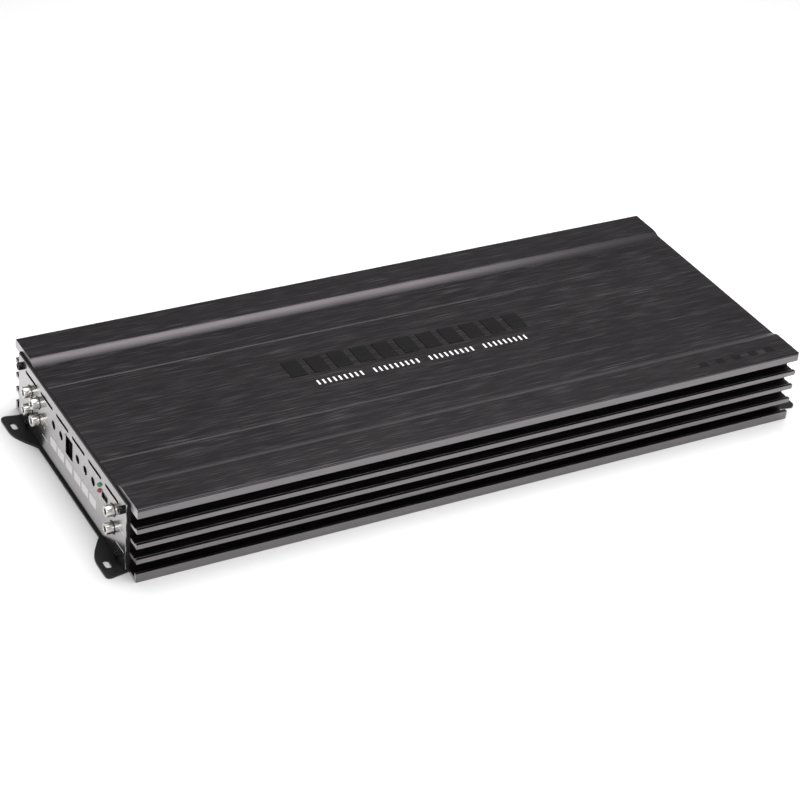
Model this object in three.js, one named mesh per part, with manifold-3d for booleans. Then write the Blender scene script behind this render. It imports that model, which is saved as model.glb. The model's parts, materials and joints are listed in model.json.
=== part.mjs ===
// Car amplifier: a finned aluminium extrusion closed by a base plate and two end panels.
//
// Frame: millimetres, +Z up. +X runs along the extrusion from the input end to the power end,
// +Y runs from the front side to the rear side. The origin is at the bottom centre.

import * as THREE from 'three';
import { mergeVertices } from 'three/addons/utils/BufferGeometryUtils.js';
import Module from 'manifold-3d';

const wasm = await Module();
wasm.setup();

// ---------------------------------------------------------------- driving dimensions

const LENGTH = 538.9;
const WIDTH = 225.6;
const HEIGHT = 60;
const HALF_LENGTH = LENGTH / 2;
const HALF_WIDTH = WIDTH / 2;
const CORNERS = [[-1, -1], [-1, 1], [1, -1], [1, 1]];

const FIT = 0.05;          // gap kept between two parts that are bolted face to face
const RUNNING = 0.2;       // radial gap round a part that turns or slides
const OVERSHOOT = 1;       // how far a cutting shape runs past the face that it cuts
const OVERLAP = 1;         // how far two shapes that become one piece run into each other
const MERGE_DISTANCE = 1e-4;
const ROUND = 12;          // sides of a small round
const FINE = 16;           // sides of a jack
const HEX = 6;             // sides of a screw's hexagon socket
const SLOT_END_STEPS = 3;  // straight steps round each end of a slot

const RAIL = { width: 27, overhang: 7.4, slopeRun: 10.6, drop: 3.6, slopeSteps: 5, chamfer: 0.8 };
const GROOVE = { y: 48.5, halfWidth: 0.7, depth: 0.6 };
const CASE = { wall: 3, finReach: 12, roof: 4 };
const OUTER_WALL = HALF_WIDTH - CASE.finReach;
const INNER_WALL = OUTER_WALL - CASE.wall;
const FIN = { count: 3, topOfHighest: 43.7, pitch: 12.4, tip: 3.7, root: 2.6, bead: 2.8, beadSlope: 0.8 };
const FLANGE = { thickness: 3, lipHeight: 7, lipDepth: 3 };
const LEDGE = { reach: 7, bottom: 2.1, top: 5.6 };
const PORT = { y: 93.8, z: 48.5, radius: 1.7, blockInner: 90, blockBottom: 44.5 };

const BASE = { thickness: 1.8, halfWidth: 97.5, endOverhang: 4, neck: 0.3 };
const EAR = { reach: 16.5, rootY: 100.2, tipY: 102.4, corner: 4, shoulderY: 84, endY: 57.5 };
const EAR_CURVE = { firstY: 75, secondX: 9.5, secondY: 66.5, steps: 6 };
const EAR_SLOT = { x: 10.6, y: 88.3, width: 4.5, length: 9.5 };
const TAB = { y: 84.6, halfWidth: 6, thickness: 1.5, setback: 0.4, height: 8.6, holeZ: 4.5, hole: 1.4 };
const STANDOFF = { radius: 3, height: 7.9, x: 205, y: 70 };
const BASE_SCREW = { x: 230, head: 2.7, sink: 1.4, shank: 1.4, length: 5.2, clearance: 0.15 };

const GASKET = { halfWidth: 100.8, bottom: 2.2, top: 56.2, thickness: 1.3 };
const WINDOW = { halfWidth: 88.5, bottom: 9, top: 51.6 };
const PANEL = { halfWidth: 99.6, bottom: 2.3, top: 56, thickness: 1.1 };
const PANEL_OUTER = GASKET.thickness + PANEL.thickness;
const VENT = { count: 6, pitch: 29.8, length: 23.3, width: 2, z: 48.6 };
const CAP_SCREW = { head: 2.9, headHeight: 3, socket: 1.5, socketDepth: 1.6, shank: 1.45, length: 9 };
const LOW_SCREW = { head: 2.1, headHeight: 1.4, slot: 0.6, slotDepth: 0.5, shank: 1.2, length: 4.6 };

const JACK = { upperZ: 36.8, lowerZ: 22.3, outerY: 77, innerY: 61.4, radius: 4.2, bore: 2.2 };
const JACK_REACH = { tip: 8.1, tail: 3.8, boreEnd: 1, lip: 0.4 };
const COLLAR = { radius: 5.3, proud: 0.6, hole: 5.5 };
const JACK_BLOCK = { margin: 8.1, front: 0.5, back: 16, bottom: 9.8, top: 45 };

const POT = { z: 36.6, body: 9.4, front: 3.6, back: 9.9, hole: 3.35, shaft: 2.8, tip: 0.8, boreEnd: 7.6 };
const POT_Y = [31.3, 17.2, -13.7, -27.8, -41.9];
const POT_SLOT = { width: 0.8, depth: 1.2 };

const MODE = { y: 1.8, z: 36, openY: 13, openZ: 15.5, wall: 1.1, front: 0.2, floor: 3.4, back: 9.9 };
const KNOB_FOOT_INSET = 1;
const MODE_KNOB = { y: -3.1, width: 5.4, height: 5.6, tip: 0.2, stem: 2.4, guideHalf: 5.6 };
const MINI = { y: -62.8, z: 37.5, openY: 10.5, openZ: 5.8, wall: 0.7, front: 0.2, floor: 4.4, back: 9.9 };
const MINI_KNOB = { y: 2.6, width: 4.4, height: 4.8, tip: -0.6, stem: 2, travel: 5.2 };
const LAMP = { y: -54.2, powerZ: 42.4, protectZ: 37.5, radius: 1.5, hole: 1.7, reach: 2, back: 9.9 };
const LAMP_DOME_STEPS = 3;

const BOARD = { bottom: 8, thickness: 1.6, halfWidth: 90, endGap: 3 };
const CONTROL_BOARD = { front: 10, thickness: 1.6, rearY: 40, frontY: -67, bottom: 9.9, top: 47 };

const POWER_BLOCK = { y: -47, halfWidth: 33, bottom: 13, top: 41, back: 22, reach: 14.5, wireZ: 24 };
const POWER_WAY = { offsets: [-21.5, 0], wire: 6, screw: 4, screwLength: 9, socket: 2.2, screwTop: 40.5 };
const REMOTE_WAY = { offset: 22, wire: 3.1, screw: 2.2, screwLength: 12, socket: 1.2, screwTop: 40.5 };
const SPEAKER_BLOCK = { y: 42, halfWidth: 40, bottom: 14, top: 35, back: 18, reach: 14.5, wireZ: 22 };
const SPEAKER_ROW = { count: 8, pitch: 9.6 };
const SPEAKER_WAY = { wire: 3.1, screw: 2, screwLength: 7, socket: 1.1, screwTop: 34.6 };
const WAY = { screwX: 8.4, wireDepth: 24, socketDepth: 1.8 };
const CUTOUT_MARGIN = 0.4;

const TOROID = { x: 62, outer: 34, inner: 12, height: 27, sides: 24, soften: 5 };
const CAN = { radius: 11, height: 36, x: -30, pitch: 24, columns: 3, y: 12.5, glueHeight: 10, glueWidth: 8 };
const DEVICE = { count: 8, pitch: 30, width: 15, depth: 4.6, bottom: 18, height: 20, wallGap: 0.15 };
const CLAMP = { depth: 3.4, bottom: 22, height: 7, margin: 12 };
const ON_BOARD = BOARD.bottom + BOARD.thickness + RUNNING;

// ---------------------------------------------------------------- finishes

function finish(color, roughness, metalness) {
  return new THREE.MeshStandardMaterial({ color, roughness, metalness });
}

const finishes = {
  blackAnodised: () => finish(0x2b2a2c, 0.45, 0.7),
  blackSheet: () => finish(0x1d1b1d, 0.5, 0.5),
  silverSheet: () => finish(0xb4b3b4, 0.2, 0.9),
  rubber: () => finish(0x0c0b0b, 0.85, 0),
  nickel: () => finish(0xd8d6d2, 0.15, 1),
  blackSteel: () => finish(0x141314, 0.35, 0.8),
  blackPlastic: () => finish(0x121112, 0.5, 0),
  greyPlastic: () => finish(0x6e7572, 0.5, 0),
  greenLens: () => finish(0x3fa35b, 0.2, 0),
  redLens: () => finish(0xd8333f, 0.2, 0),
  circuitBoard: () => finish(0x1f5a35, 0.6, 0),
  copperWinding: () => finish(0xa8622d, 0.35, 0.9),
  sleeve: () => finish(0x20242c, 0.4, 0),
  device: () => finish(0x1a1a1c, 0.55, 0.2),
};

// ---------------------------------------------------------------- shape helpers

function toSolid(geometry) {
  const bare = geometry.clone();
  bare.deleteAttribute('normal');
  bare.deleteAttribute('uv');
  const merged = mergeVertices(bare, MERGE_DISTANCE);
  const vertProperties = new Float32Array(merged.attributes.position.array);
  const triVerts = new Uint32Array(merged.index.array);
  return new wasm.Manifold(new wasm.Mesh({ numProp: 3, vertProperties, triVerts }));
}

function toGeometry(solid) {
  const mesh = solid.getMesh();
  const geometry = new THREE.BufferGeometry();
  geometry.setAttribute('position', new THREE.BufferAttribute(mesh.vertProperties, mesh.numProp));
  geometry.setIndex(new THREE.BufferAttribute(mesh.triVerts, 1));
  geometry.computeVertexNormals();
  return geometry;
}

function joined(geometries) {
  return geometries.map(toSolid).reduce((sum, next) => sum.add(next));
}

function cutFrom(base, tools) {
  return toGeometry(tools.map(toSolid).reduce((rest, tool) => rest.subtract(tool), base));
}

// A box from its lowest to its highest corner.
function block([x0, y0, z0], [x1, y1, z1]) {
  const box = new THREE.BoxGeometry(x1 - x0, y1 - y0, z1 - z0);
  return box.translate((x0 + x1) / 2, (y0 + y1) / 2, (z0 + z1) / 2);
}

function rodAlongX(radius, x0, x1, y, z, sides = ROUND) {
  const rod = new THREE.CylinderGeometry(radius, radius, x1 - x0, sides);
  return rod.rotateZ(-Math.PI / 2).translate((x0 + x1) / 2, y, z);
}

function rodAlongZ(radius, z0, z1, x, y, sides = ROUND) {
  const rod = new THREE.CylinderGeometry(radius, radius, z1 - z0, sides);
  return rod.rotateX(Math.PI / 2).translate(x, y, (z0 + z1) / 2);
}

// Turns a profile of radius and height pairs round its axis.
function turned(profile, sides) {
  return new THREE.LatheGeometry(profile.map(([radius, height]) => new THREE.Vector2(radius, height)), sides);
}

// Extrudes an outline drawn in the Y-Z plane along X.
function extrudeAlongX(shape, x0, x1) {
  const solid = new THREE.ExtrudeGeometry(shape, { depth: x1 - x0, bevelEnabled: false });
  const turn = new THREE.Matrix4().makeBasis(
    new THREE.Vector3(0, 1, 0),
    new THREE.Vector3(0, 0, 1),
    new THREE.Vector3(1, 0, 0),
  );
  return solid.applyMatrix4(turn).translate(x0, 0, 0);
}

function roundHole(cx, cy, radius, sides = ROUND) {
  const corners = [];
  for (let i = 0; i < sides; i++) {
    const angle = (2 * Math.PI * i) / sides;
    corners.push(new THREE.Vector2(cx + radius * Math.cos(angle), cy + radius * Math.sin(angle)));
  }
  return new THREE.Path(corners);
}

function boxHole(cx, cy, width, height) {
  return new THREE.Path([
    new THREE.Vector2(cx - width / 2, cy - height / 2),
    new THREE.Vector2(cx + width / 2, cy - height / 2),
    new THREE.Vector2(cx + width / 2, cy + height / 2),
    new THREE.Vector2(cx - width / 2, cy + height / 2),
  ]);
}

// A slot with round ends, long along the outline's first axis and then turned.
function slotHole(cx, cy, length, width, turn = 0) {
  const corners = [];
  const centre = new THREE.Vector2(cx, cy);
  const straight = (length - width) / 2;
  for (const end of [1, -1]) {
    for (let i = 0; i <= SLOT_END_STEPS; i++) {
      const angle = (Math.PI * i) / SLOT_END_STEPS - Math.PI / 2;
      const along = end * (straight + (width / 2) * Math.cos(angle));
      const across = end * (width / 2) * Math.sin(angle);
      const corner = new THREE.Vector2(cx + along, cy + across);
      corners.push(corner.rotateAround(centre, turn));
    }
  }
  return new THREE.Path(corners);
}

function rectangle(halfWidth, bottom, top) {
  return new THREE.Shape([
    new THREE.Vector2(-halfWidth, bottom),
    new THREE.Vector2(halfWidth, bottom),
    new THREE.Vector2(halfWidth, top),
    new THREE.Vector2(-halfWidth, top),
  ]);
}

// Two X positions in rising order.
function span(a, b) {
  return [Math.min(a, b), Math.max(a, b)];
}

// ---------------------------------------------------------------- heatsink

// One half of the extrusion's section, from the roof's underside round to its upper face.
function heatsinkHalfSection() {
  const plateTop = HEIGHT - RAIL.drop;
  const roof = plateTop - CASE.roof;
  const beadEnd = HALF_WIDTH - FIN.bead;
  const points = [
    [PORT.blockInner, roof],
    [PORT.blockInner, PORT.blockBottom],
    [INNER_WALL, PORT.blockBottom],
    [INNER_WALL, LEDGE.top],
    [INNER_WALL - LEDGE.reach, LEDGE.top],
    [INNER_WALL - LEDGE.reach, LEDGE.bottom],
    [INNER_WALL, LEDGE.bottom],
    [INNER_WALL, 0],
    [HALF_WIDTH, 0],
    [HALF_WIDTH, FLANGE.lipHeight],
    [HALF_WIDTH - FLANGE.lipDepth, FLANGE.lipHeight],
    [HALF_WIDTH - FLANGE.lipDepth, FLANGE.thickness],
    [OUTER_WALL, FLANGE.thickness],
  ];
  for (let fin = FIN.count - 1; fin >= 0; fin--) {
    const top = FIN.topOfHighest - fin * FIN.pitch;
    const bottom = top - FIN.tip;
    points.push([OUTER_WALL, bottom], [HALF_WIDTH, bottom], [HALF_WIDTH, top], [beadEnd, top]);
    points.push([beadEnd - FIN.beadSlope, bottom + FIN.root], [OUTER_WALL, bottom + FIN.root]);
  }
  const slopeStart = HALF_WIDTH - RAIL.width;
  points.push([OUTER_WALL, HEIGHT - RAIL.overhang], [HALF_WIDTH, HEIGHT - RAIL.overhang]);
  points.push([HALF_WIDTH, HEIGHT - RAIL.chamfer], [HALF_WIDTH - RAIL.chamfer, HEIGHT]);
  for (let step = 0; step <= RAIL.slopeSteps; step++) {
    const t = step / RAIL.slopeSteps;
    points.push([slopeStart - t * RAIL.slopeRun, HEIGHT - (RAIL.drop * (1 - Math.cos(Math.PI * t))) / 2]);
  }
  points.push([GROOVE.y + GROOVE.halfWidth, plateTop]);
  points.push([GROOVE.y, plateTop - GROOVE.depth]);
  points.push([GROOVE.y - GROOVE.halfWidth, plateTop]);
  return points;
}

function heatsink() {
  const rear = heatsinkHalfSection();
  const front = rear.map(([y, z]) => [-y, z]).reverse();
  const section = new THREE.Shape([...rear, ...front].map(([y, z]) => new THREE.Vector2(y, z)));
  for (const side of [1, -1]) {
    section.holes.push(roundHole(side * PORT.y, PORT.z, PORT.radius));
  }
  const bar = toSolid(extrudeAlongX(section, -HALF_LENGTH, HALF_LENGTH));
  const radius = BASE_SCREW.shank + BASE_SCREW.clearance;
  const screwHoles = baseScrewPlaces().map(([x, y]) => {
    return rodAlongZ(radius, LEDGE.bottom - OVERSHOOT, LEDGE.top + OVERSHOOT, x, y);
  });
  return cutFrom(bar, screwHoles);
}

// ---------------------------------------------------------------- base plate

function baseScrewPlaces() {
  const y = INNER_WALL - LEDGE.reach / 2;
  return CORNERS.map(([sx, sy]) => [sx * BASE_SCREW.x, sy * y]);
}

// A quarter of the outline, in the +X, +Y corner, from the long side to the end's middle.
function basePlateCorner() {
  const neckX = HALF_LENGTH + BASE.neck;
  const tipX = HALF_LENGTH + EAR.reach;
  const endX = HALF_LENGTH + BASE.endOverhang;
  const corner = new THREE.Path();
  corner.moveTo(neckX, BASE.halfWidth);
  corner.lineTo(neckX, EAR.rootY);
  corner.lineTo(tipX - EAR.corner, EAR.tipY);
  corner.quadraticCurveTo(tipX, EAR.tipY, tipX, EAR.tipY - EAR.corner);
  corner.lineTo(tipX, EAR.shoulderY);
  corner.bezierCurveTo(
    tipX, EAR_CURVE.firstY,
    HALF_LENGTH + EAR_CURVE.secondX, EAR_CURVE.secondY,
    endX, EAR.endY,
  );
  return corner.getPoints(EAR_CURVE.steps);
}

function basePlateOutline() {
  const corner = basePlateCorner();
  const mirrored = (sx, sy) => corner.map((p) => new THREE.Vector2(sx * p.x, sy * p.y));
  return new THREE.Shape([
    ...mirrored(1, 1),
    ...mirrored(1, -1).reverse(),
    ...mirrored(-1, -1),
    ...mirrored(-1, 1).reverse(),
  ]);
}

// The X range of a bent-up tab, made longer at both faces by extra.
function tabRange(sx, extra) {
  const outer = HALF_LENGTH - TAB.setback;
  return span(sx * (outer - TAB.thickness - extra), sx * (outer + extra));
}

// The tab that takes a low screw of the end panel.
function tab(sx, sy) {
  const [x0, x1] = tabRange(sx, 0);
  const y = sy * TAB.y;
  return block([x0, y - TAB.halfWidth, BASE.thickness / 2], [x1, y + TAB.halfWidth, TAB.height]);
}

function tabHole(sx, sy) {
  const [x0, x1] = tabRange(sx, OVERSHOOT);
  return rodAlongX(TAB.hole, x0, x1, sy * TAB.y, TAB.holeZ);
}

function standoff(sx, sy) {
  const { radius, height, x, y } = STANDOFF;
  return rodAlongZ(radius, BASE.thickness / 2, height, sx * x, sy * y);
}

// The cone and the shank hole that a countersunk screw needs.
function countersink([x, y]) {
  const wide = BASE_SCREW.head + BASE_SCREW.clearance;
  const narrow = BASE_SCREW.shank + BASE_SCREW.clearance;
  const cone = new THREE.CylinderGeometry(narrow, wide, BASE_SCREW.sink, ROUND);
  return [
    cone.rotateX(Math.PI / 2).translate(x, y, BASE_SCREW.sink / 2 - FIT),
    rodAlongZ(narrow, -OVERSHOOT, BASE.thickness + OVERSHOOT, x, y),
  ];
}

function basePlate() {
  const outline = basePlateOutline();
  for (const [sx, sy] of CORNERS) {
    const x = sx * (HALF_LENGTH + EAR_SLOT.x);
    outline.holes.push(slotHole(x, sy * EAR_SLOT.y, EAR_SLOT.length, EAR_SLOT.width, Math.PI / 2));
  }
  const sheet = new THREE.ExtrudeGeometry(outline, { depth: BASE.thickness, bevelEnabled: false });
  const tabs = CORNERS.map(([sx, sy]) => tab(sx, sy));
  const standoffs = CORNERS.map(([sx, sy]) => standoff(sx, sy));
  const tabHoles = CORNERS.map(([sx, sy]) => tabHole(sx, sy));
  const countersinks = baseScrewPlaces().flatMap(countersink);
  return cutFrom(joined([sheet, ...tabs, ...standoffs]), [...tabHoles, ...countersinks]);
}

// A countersunk screw standing on its head, which lies flush with the plate's underside.
function baseScrew() {
  const { head, sink, shank, length } = BASE_SCREW;
  const profile = [[0, FIT], [head, FIT], [shank, sink], [shank, length], [0, length]];
  return turned(profile, ROUND).rotateX(Math.PI / 2);
}

// ---------------------------------------------------------------- end panels

// The X range of a layer outside an end of the extrusion: side -1 is the input end, 1 the power end.
function layer(side, inner, outer) {
  return span(side * (HALF_LENGTH + inner), side * (HALF_LENGTH + outer));
}

function gasket(side) {
  const frame = rectangle(GASKET.halfWidth, GASKET.bottom, GASKET.top);
  const middle = (WINDOW.bottom + WINDOW.top) / 2;
  frame.holes.push(boxHole(0, middle, 2 * WINDOW.halfWidth, WINDOW.top - WINDOW.bottom));
  addScrewHoles(frame, side, RUNNING);
  const [x0, x1] = layer(side, FIT, GASKET.thickness - FIT);
  return extrudeAlongX(frame, x0, x1);
}

function addScrewHoles(frame, side, extra) {
  for (const sy of [-1, 1]) {
    frame.holes.push(roundHole(sy * PORT.y, PORT.z, PORT.radius + extra));
    if (side < 0) frame.holes.push(roundHole(sy * TAB.y, TAB.holeZ, TAB.hole + extra));
  }
}

function addVents(frame) {
  for (let i = 0; i < VENT.count; i++) {
    const y = (i - (VENT.count - 1) / 2) * VENT.pitch;
    frame.holes.push(slotHole(y, VENT.z, VENT.length, VENT.width));
  }
}

function jackPlaces() {
  const places = [];
  for (const y of [JACK.outerY, JACK.innerY, -JACK.outerY]) {
    places.push([y, JACK.upperZ], [y, JACK.lowerZ]);
  }
  return places;
}

function inputPanel() {
  const frame = rectangle(PANEL.halfWidth, PANEL.bottom, PANEL.top);
  addScrewHoles(frame, -1, 0);
  addVents(frame);
  for (const [y, z] of jackPlaces()) frame.holes.push(roundHole(y, z, COLLAR.hole, FINE));
  for (const y of POT_Y) frame.holes.push(roundHole(y, POT.z, POT.hole));
  frame.holes.push(boxHole(MODE.y, MODE.z, MODE.openY, MODE.openZ));
  frame.holes.push(boxHole(MINI.y, MINI.z, MINI.openY, MINI.openZ));
  for (const z of [LAMP.powerZ, LAMP.protectZ]) frame.holes.push(roundHole(LAMP.y, z, LAMP.hole));
  const [x0, x1] = layer(-1, GASKET.thickness, PANEL_OUTER);
  return extrudeAlongX(frame, x0, x1);
}

function powerPanel() {
  const frame = rectangle(PANEL.halfWidth, PANEL.bottom, PANEL.top);
  addScrewHoles(frame, 1, 0);
  addVents(frame);
  for (const housing of [POWER_BLOCK, SPEAKER_BLOCK]) {
    const width = 2 * (housing.halfWidth + CUTOUT_MARGIN);
    const height = housing.top - housing.bottom + 2 * CUTOUT_MARGIN;
    frame.holes.push(boxHole(housing.y, (housing.top + housing.bottom) / 2, width, height));
  }
  const [x0, x1] = layer(1, GASKET.thickness, PANEL_OUTER);
  return extrudeAlongX(frame, x0, x1);
}

// A headed screw along X: its head's seat is at 0 and its shank runs towards +X.
function headedScrew({ head, headHeight, shank, length }, recess) {
  const pieces = [rodAlongX(head, -headHeight, 0, 0, 0), rodAlongX(shank, -headHeight / 2, length, 0, 0)];
  return cutFrom(joined(pieces), [recess]);
}

function capScrew() {
  const { headHeight, socket, socketDepth } = CAP_SCREW;
  const recess = rodAlongX(socket, -headHeight - OVERSHOOT, socketDepth - headHeight, 0, 0, HEX);
  return headedScrew(CAP_SCREW, recess);
}

function lowScrew() {
  const { head, headHeight, slot, slotDepth } = LOW_SCREW;
  const reach = head + OVERSHOOT;
  const low = [-headHeight - OVERSHOOT, -reach, -slot / 2];
  return headedScrew(LOW_SCREW, block(low, [slotDepth - headHeight, reach, slot / 2]));
}

// ---------------------------------------------------------------- signal jacks

// X of a point given as its depth behind the extrusion's input end.
function behindInput(depth) {
  return depth - HALF_LENGTH;
}

function jackBlock(columns) {
  const front = behindInput(JACK_BLOCK.front);
  const back = behindInput(JACK_BLOCK.back);
  const lowY = Math.min(...columns) - JACK_BLOCK.margin;
  const highY = Math.max(...columns) + JACK_BLOCK.margin;
  const pieces = [block([front, lowY, JACK_BLOCK.bottom], [back, highY, JACK_BLOCK.top])];
  const bores = [];
  const collarEnd = behindInput(-PANEL_OUTER - COLLAR.proud);
  const boreEnd = behindInput(JACK_REACH.tail + RUNNING);
  for (const y of columns) {
    for (const z of [JACK.upperZ, JACK.lowerZ]) {
      pieces.push(rodAlongX(COLLAR.radius, collarEnd, front + OVERLAP, y, z, FINE));
      bores.push(rodAlongX(JACK.radius + RUNNING, collarEnd - OVERSHOOT, boreEnd, y, z, FINE));
    }
  }
  return cutFrom(joined(pieces), bores);
}

// The plated barrel that a plug slips over, with the pin's bore in its face.
function jackShell() {
  const { tip, tail, boreEnd, lip } = JACK_REACH;
  const profile = [
    [0, boreEnd],
    [JACK.bore, boreEnd],
    [JACK.bore, lip - tip],
    [JACK.bore + lip, -tip],
    [JACK.radius - lip, -tip],
    [JACK.radius, lip - tip],
    [JACK.radius, tail],
    [0, tail],
  ];
  return turned(profile, FINE).rotateZ(-Math.PI / 2);
}

// ---------------------------------------------------------------- controls

// A trimmer's housing, centred on its shaft's axis.
function potBody() {
  const half = POT.body / 2;
  const front = behindInput(POT.front);
  const housing = toSolid(block([front, -half, -half], [behindInput(POT.back), half, half]));
  const boreEnd = behindInput(POT.boreEnd + RUNNING);
  return cutFrom(housing, [rodAlongX(POT.shaft + RUNNING, front - OVERSHOOT, boreEnd, 0, 0)]);
}

function potRotor() {
  const tip = behindInput(POT.tip);
  const shaft = toSolid(rodAlongX(POT.shaft, tip, behindInput(POT.boreEnd), 0, 0));
  const half = POT_SLOT.width / 2;
  const reach = POT.shaft + OVERSHOOT;
  return cutFrom(shaft, [block([tip - OVERSHOOT, -reach, -half], [tip + POT_SLOT.depth, reach, half])]);
}

// An open-fronted switch housing. Its slider's foot runs in a guide pocket in the floor, and
// the pocket's Y and Z ranges are measured from the switch's centre.
function switchBody(size, stem, [y0, y1], [z0, z1]) {
  const front = behindInput(size.front);
  const floor = behindInput(size.floor);
  const outerY = size.openY / 2 + size.wall;
  const outerZ = size.openZ / 2 + size.wall;
  const innerY = size.openY / 2 - RUNNING;
  const innerZ = size.openZ / 2 - RUNNING;
  const housing = toSolid(block([front, -outerY, -outerZ], [behindInput(size.back), outerY, outerZ]));
  const hollow = block([front - OVERSHOOT, -innerY, -innerZ], [floor, innerY, innerZ]);
  const pocket = block([floor - OVERSHOOT, y0, z0], [floor + stem + RUNNING, y1, z1]);
  return cutFrom(housing, [hollow, pocket]);
}

// Half the width of the guide pocket that a knob's foot runs in.
function guideHalfWidth(knob) {
  return knob.width / 2 - KNOB_FOOT_INSET + RUNNING;
}

function modeSwitchBody() {
  const { y, stem, guideHalf } = MODE_KNOB;
  const half = guideHalfWidth(MODE_KNOB);
  return switchBody(MODE, stem, [y - half, y + half], [-guideHalf, guideHalf]);
}

function miniSwitchBody() {
  const { y, stem, travel } = MINI_KNOB;
  const half = guideHalfWidth(MINI_KNOB);
  return switchBody(MINI, stem, [y - travel - half, y + half], [-half, half]);
}

// A knob that stands on the switch's floor, with a narrower foot in the guide pocket.
function switchSlider(size, { width, height, tip, stem, y }) {
  const seat = behindInput(size.floor - RUNNING);
  const knob = block([behindInput(tip), y - width / 2, -height / 2], [seat, y + width / 2, height / 2]);
  const half = width / 2 - KNOB_FOOT_INSET;
  const foot = block([seat - OVERLAP, y - half, -half], [behindInput(size.floor + stem), y + half, half]);
  return toGeometry(joined([knob, foot]));
}

// A domed indicator lamp whose round end looks out through the panel.
function lamp() {
  const domeStart = -PANEL_OUTER - LAMP.reach + LAMP.radius;
  const profile = [[0, LAMP.back], [LAMP.radius, LAMP.back]];
  for (let step = 0; step <= LAMP_DOME_STEPS; step++) {
    const angle = (Math.PI / 2) * (step / LAMP_DOME_STEPS);
    const radius = step === LAMP_DOME_STEPS ? 0 : LAMP.radius * Math.cos(angle);
    profile.push([radius, domeStart - LAMP.radius * Math.sin(angle)]);
  }
  return turned(profile.reverse(), ROUND).rotateZ(-Math.PI / 2).translate(-HALF_LENGTH, 0, 0);
}

// ---------------------------------------------------------------- boards and inner parts

function mainBoard() {
  const end = HALF_LENGTH - BOARD.endGap;
  return block([-end, -BOARD.halfWidth, BOARD.bottom], [end, BOARD.halfWidth, BOARD.bottom + BOARD.thickness]);
}

function controlBoard() {
  const { front, thickness, rearY, frontY, bottom, top } = CONTROL_BOARD;
  return block([behindInput(front), frontY, bottom], [behindInput(front + thickness), rearY, top]);
}

function toroid() {
  const { outer, inner, height, sides, soften } = TOROID;
  const section = [
    [inner, soften],
    [inner + soften, 0],
    [outer - soften, 0],
    [outer, soften],
    [outer, height - soften],
    [outer - soften, height],
    [inner + soften, height],
    [inner, height - soften],
    [inner, soften],
  ];
  return turned(section, sides).rotateX(Math.PI / 2);
}

// Reservoir capacitors in two rows, held together by a bead of adhesive.
function capacitorBank() {
  const pieces = [];
  const reach = ((CAN.columns - 1) / 2) * CAN.pitch;
  for (const side of [-1, 1]) {
    for (let column = 0; column < CAN.columns; column++) {
      const x = column * CAN.pitch - reach;
      pieces.push(rodAlongZ(CAN.radius, 0, CAN.height, x, side * CAN.y));
    }
    const y = side * CAN.y;
    pieces.push(block([-reach, y - CAN.glueWidth / 2, 0], [reach, y + CAN.glueWidth / 2, CAN.glueHeight]));
  }
  pieces.push(block([-CAN.glueWidth / 2, -CAN.y, 0], [CAN.glueWidth / 2, CAN.y, CAN.glueHeight]));
  return toGeometry(joined(pieces));
}

// Output transistors pressed against a side wall by a common bar; side 1 is the rear wall.
function clampedDevices(side) {
  const wall = INNER_WALL - DEVICE.wallGap;
  const seat = wall - DEVICE.depth;
  const reach = ((DEVICE.count - 1) / 2) * DEVICE.pitch;
  const slab = (x0, x1, y0, y1, z0, z1) => {
    const [low, high] = side > 0 ? [y0, y1] : [-y1, -y0];
    return block([x0, low, z0], [x1, high, z1]);
  };
  const pieces = [];
  const top = DEVICE.bottom + DEVICE.height;
  for (let i = 0; i < DEVICE.count; i++) {
    const x = i * DEVICE.pitch - reach;
    pieces.push(slab(x - DEVICE.width / 2, x + DEVICE.width / 2, seat, wall, DEVICE.bottom, top));
  }
  const end = reach + CLAMP.margin;
  const barTop = CLAMP.bottom + CLAMP.height;
  pieces.push(slab(-end, end, seat - CLAMP.depth, seat + OVERLAP, CLAMP.bottom, barTop));
  return toGeometry(joined(pieces));
}

// ---------------------------------------------------------------- power end terminals

function powerWays() {
  const big = POWER_WAY.offsets.map((offset) => ({ ...POWER_WAY, y: POWER_BLOCK.y + offset }));
  return [...big, { ...REMOTE_WAY, y: POWER_BLOCK.y + REMOTE_WAY.offset }];
}

function speakerWays() {
  const ways = [];
  for (let i = 0; i < SPEAKER_ROW.count; i++) {
    const offset = (i - (SPEAKER_ROW.count - 1) / 2) * SPEAKER_ROW.pitch;
    ways.push({ ...SPEAKER_WAY, y: SPEAKER_BLOCK.y + offset });
  }
  return ways;
}

// A terminal housing with a wire entry in its face and a screw hole in its top for each way.
function terminalBlock(size, ways) {
  const face = HALF_LENGTH + size.reach;
  const low = [HALF_LENGTH - size.back, size.y - size.halfWidth, size.bottom];
  const high = [face, size.y + size.halfWidth, size.top];
  const holes = [];
  const screwX = HALF_LENGTH + WAY.screwX;
  for (const way of ways) {
    holes.push(rodAlongX(way.wire, face - WAY.wireDepth, face + OVERSHOOT, way.y, size.wireZ));
    holes.push(rodAlongZ(way.screw + RUNNING, size.wireZ, size.top + OVERSHOOT, screwX, way.y));
  }
  return cutFrom(toSolid(block(low, high)), holes);
}

// A grub screw standing on its point, with its top at 0.
function clampScrew({ screw, screwLength, socket }) {
  const body = toSolid(rodAlongZ(screw, -screwLength, 0, 0, 0));
  return cutFrom(body, [rodAlongZ(socket, -WAY.socketDepth, OVERSHOOT, 0, 0, HEX)]);
}

// ---------------------------------------------------------------- assembly

const amplifier = new THREE.Group();

function place(name, geometry, material, x = 0, y = 0, z = 0, turnZ = 0) {
  const mesh = new THREE.Mesh(geometry, material);
  mesh.name = name;
  mesh.position.set(x, y, z);
  mesh.rotation.z = turnZ;
  amplifier.add(mesh);
}

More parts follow.
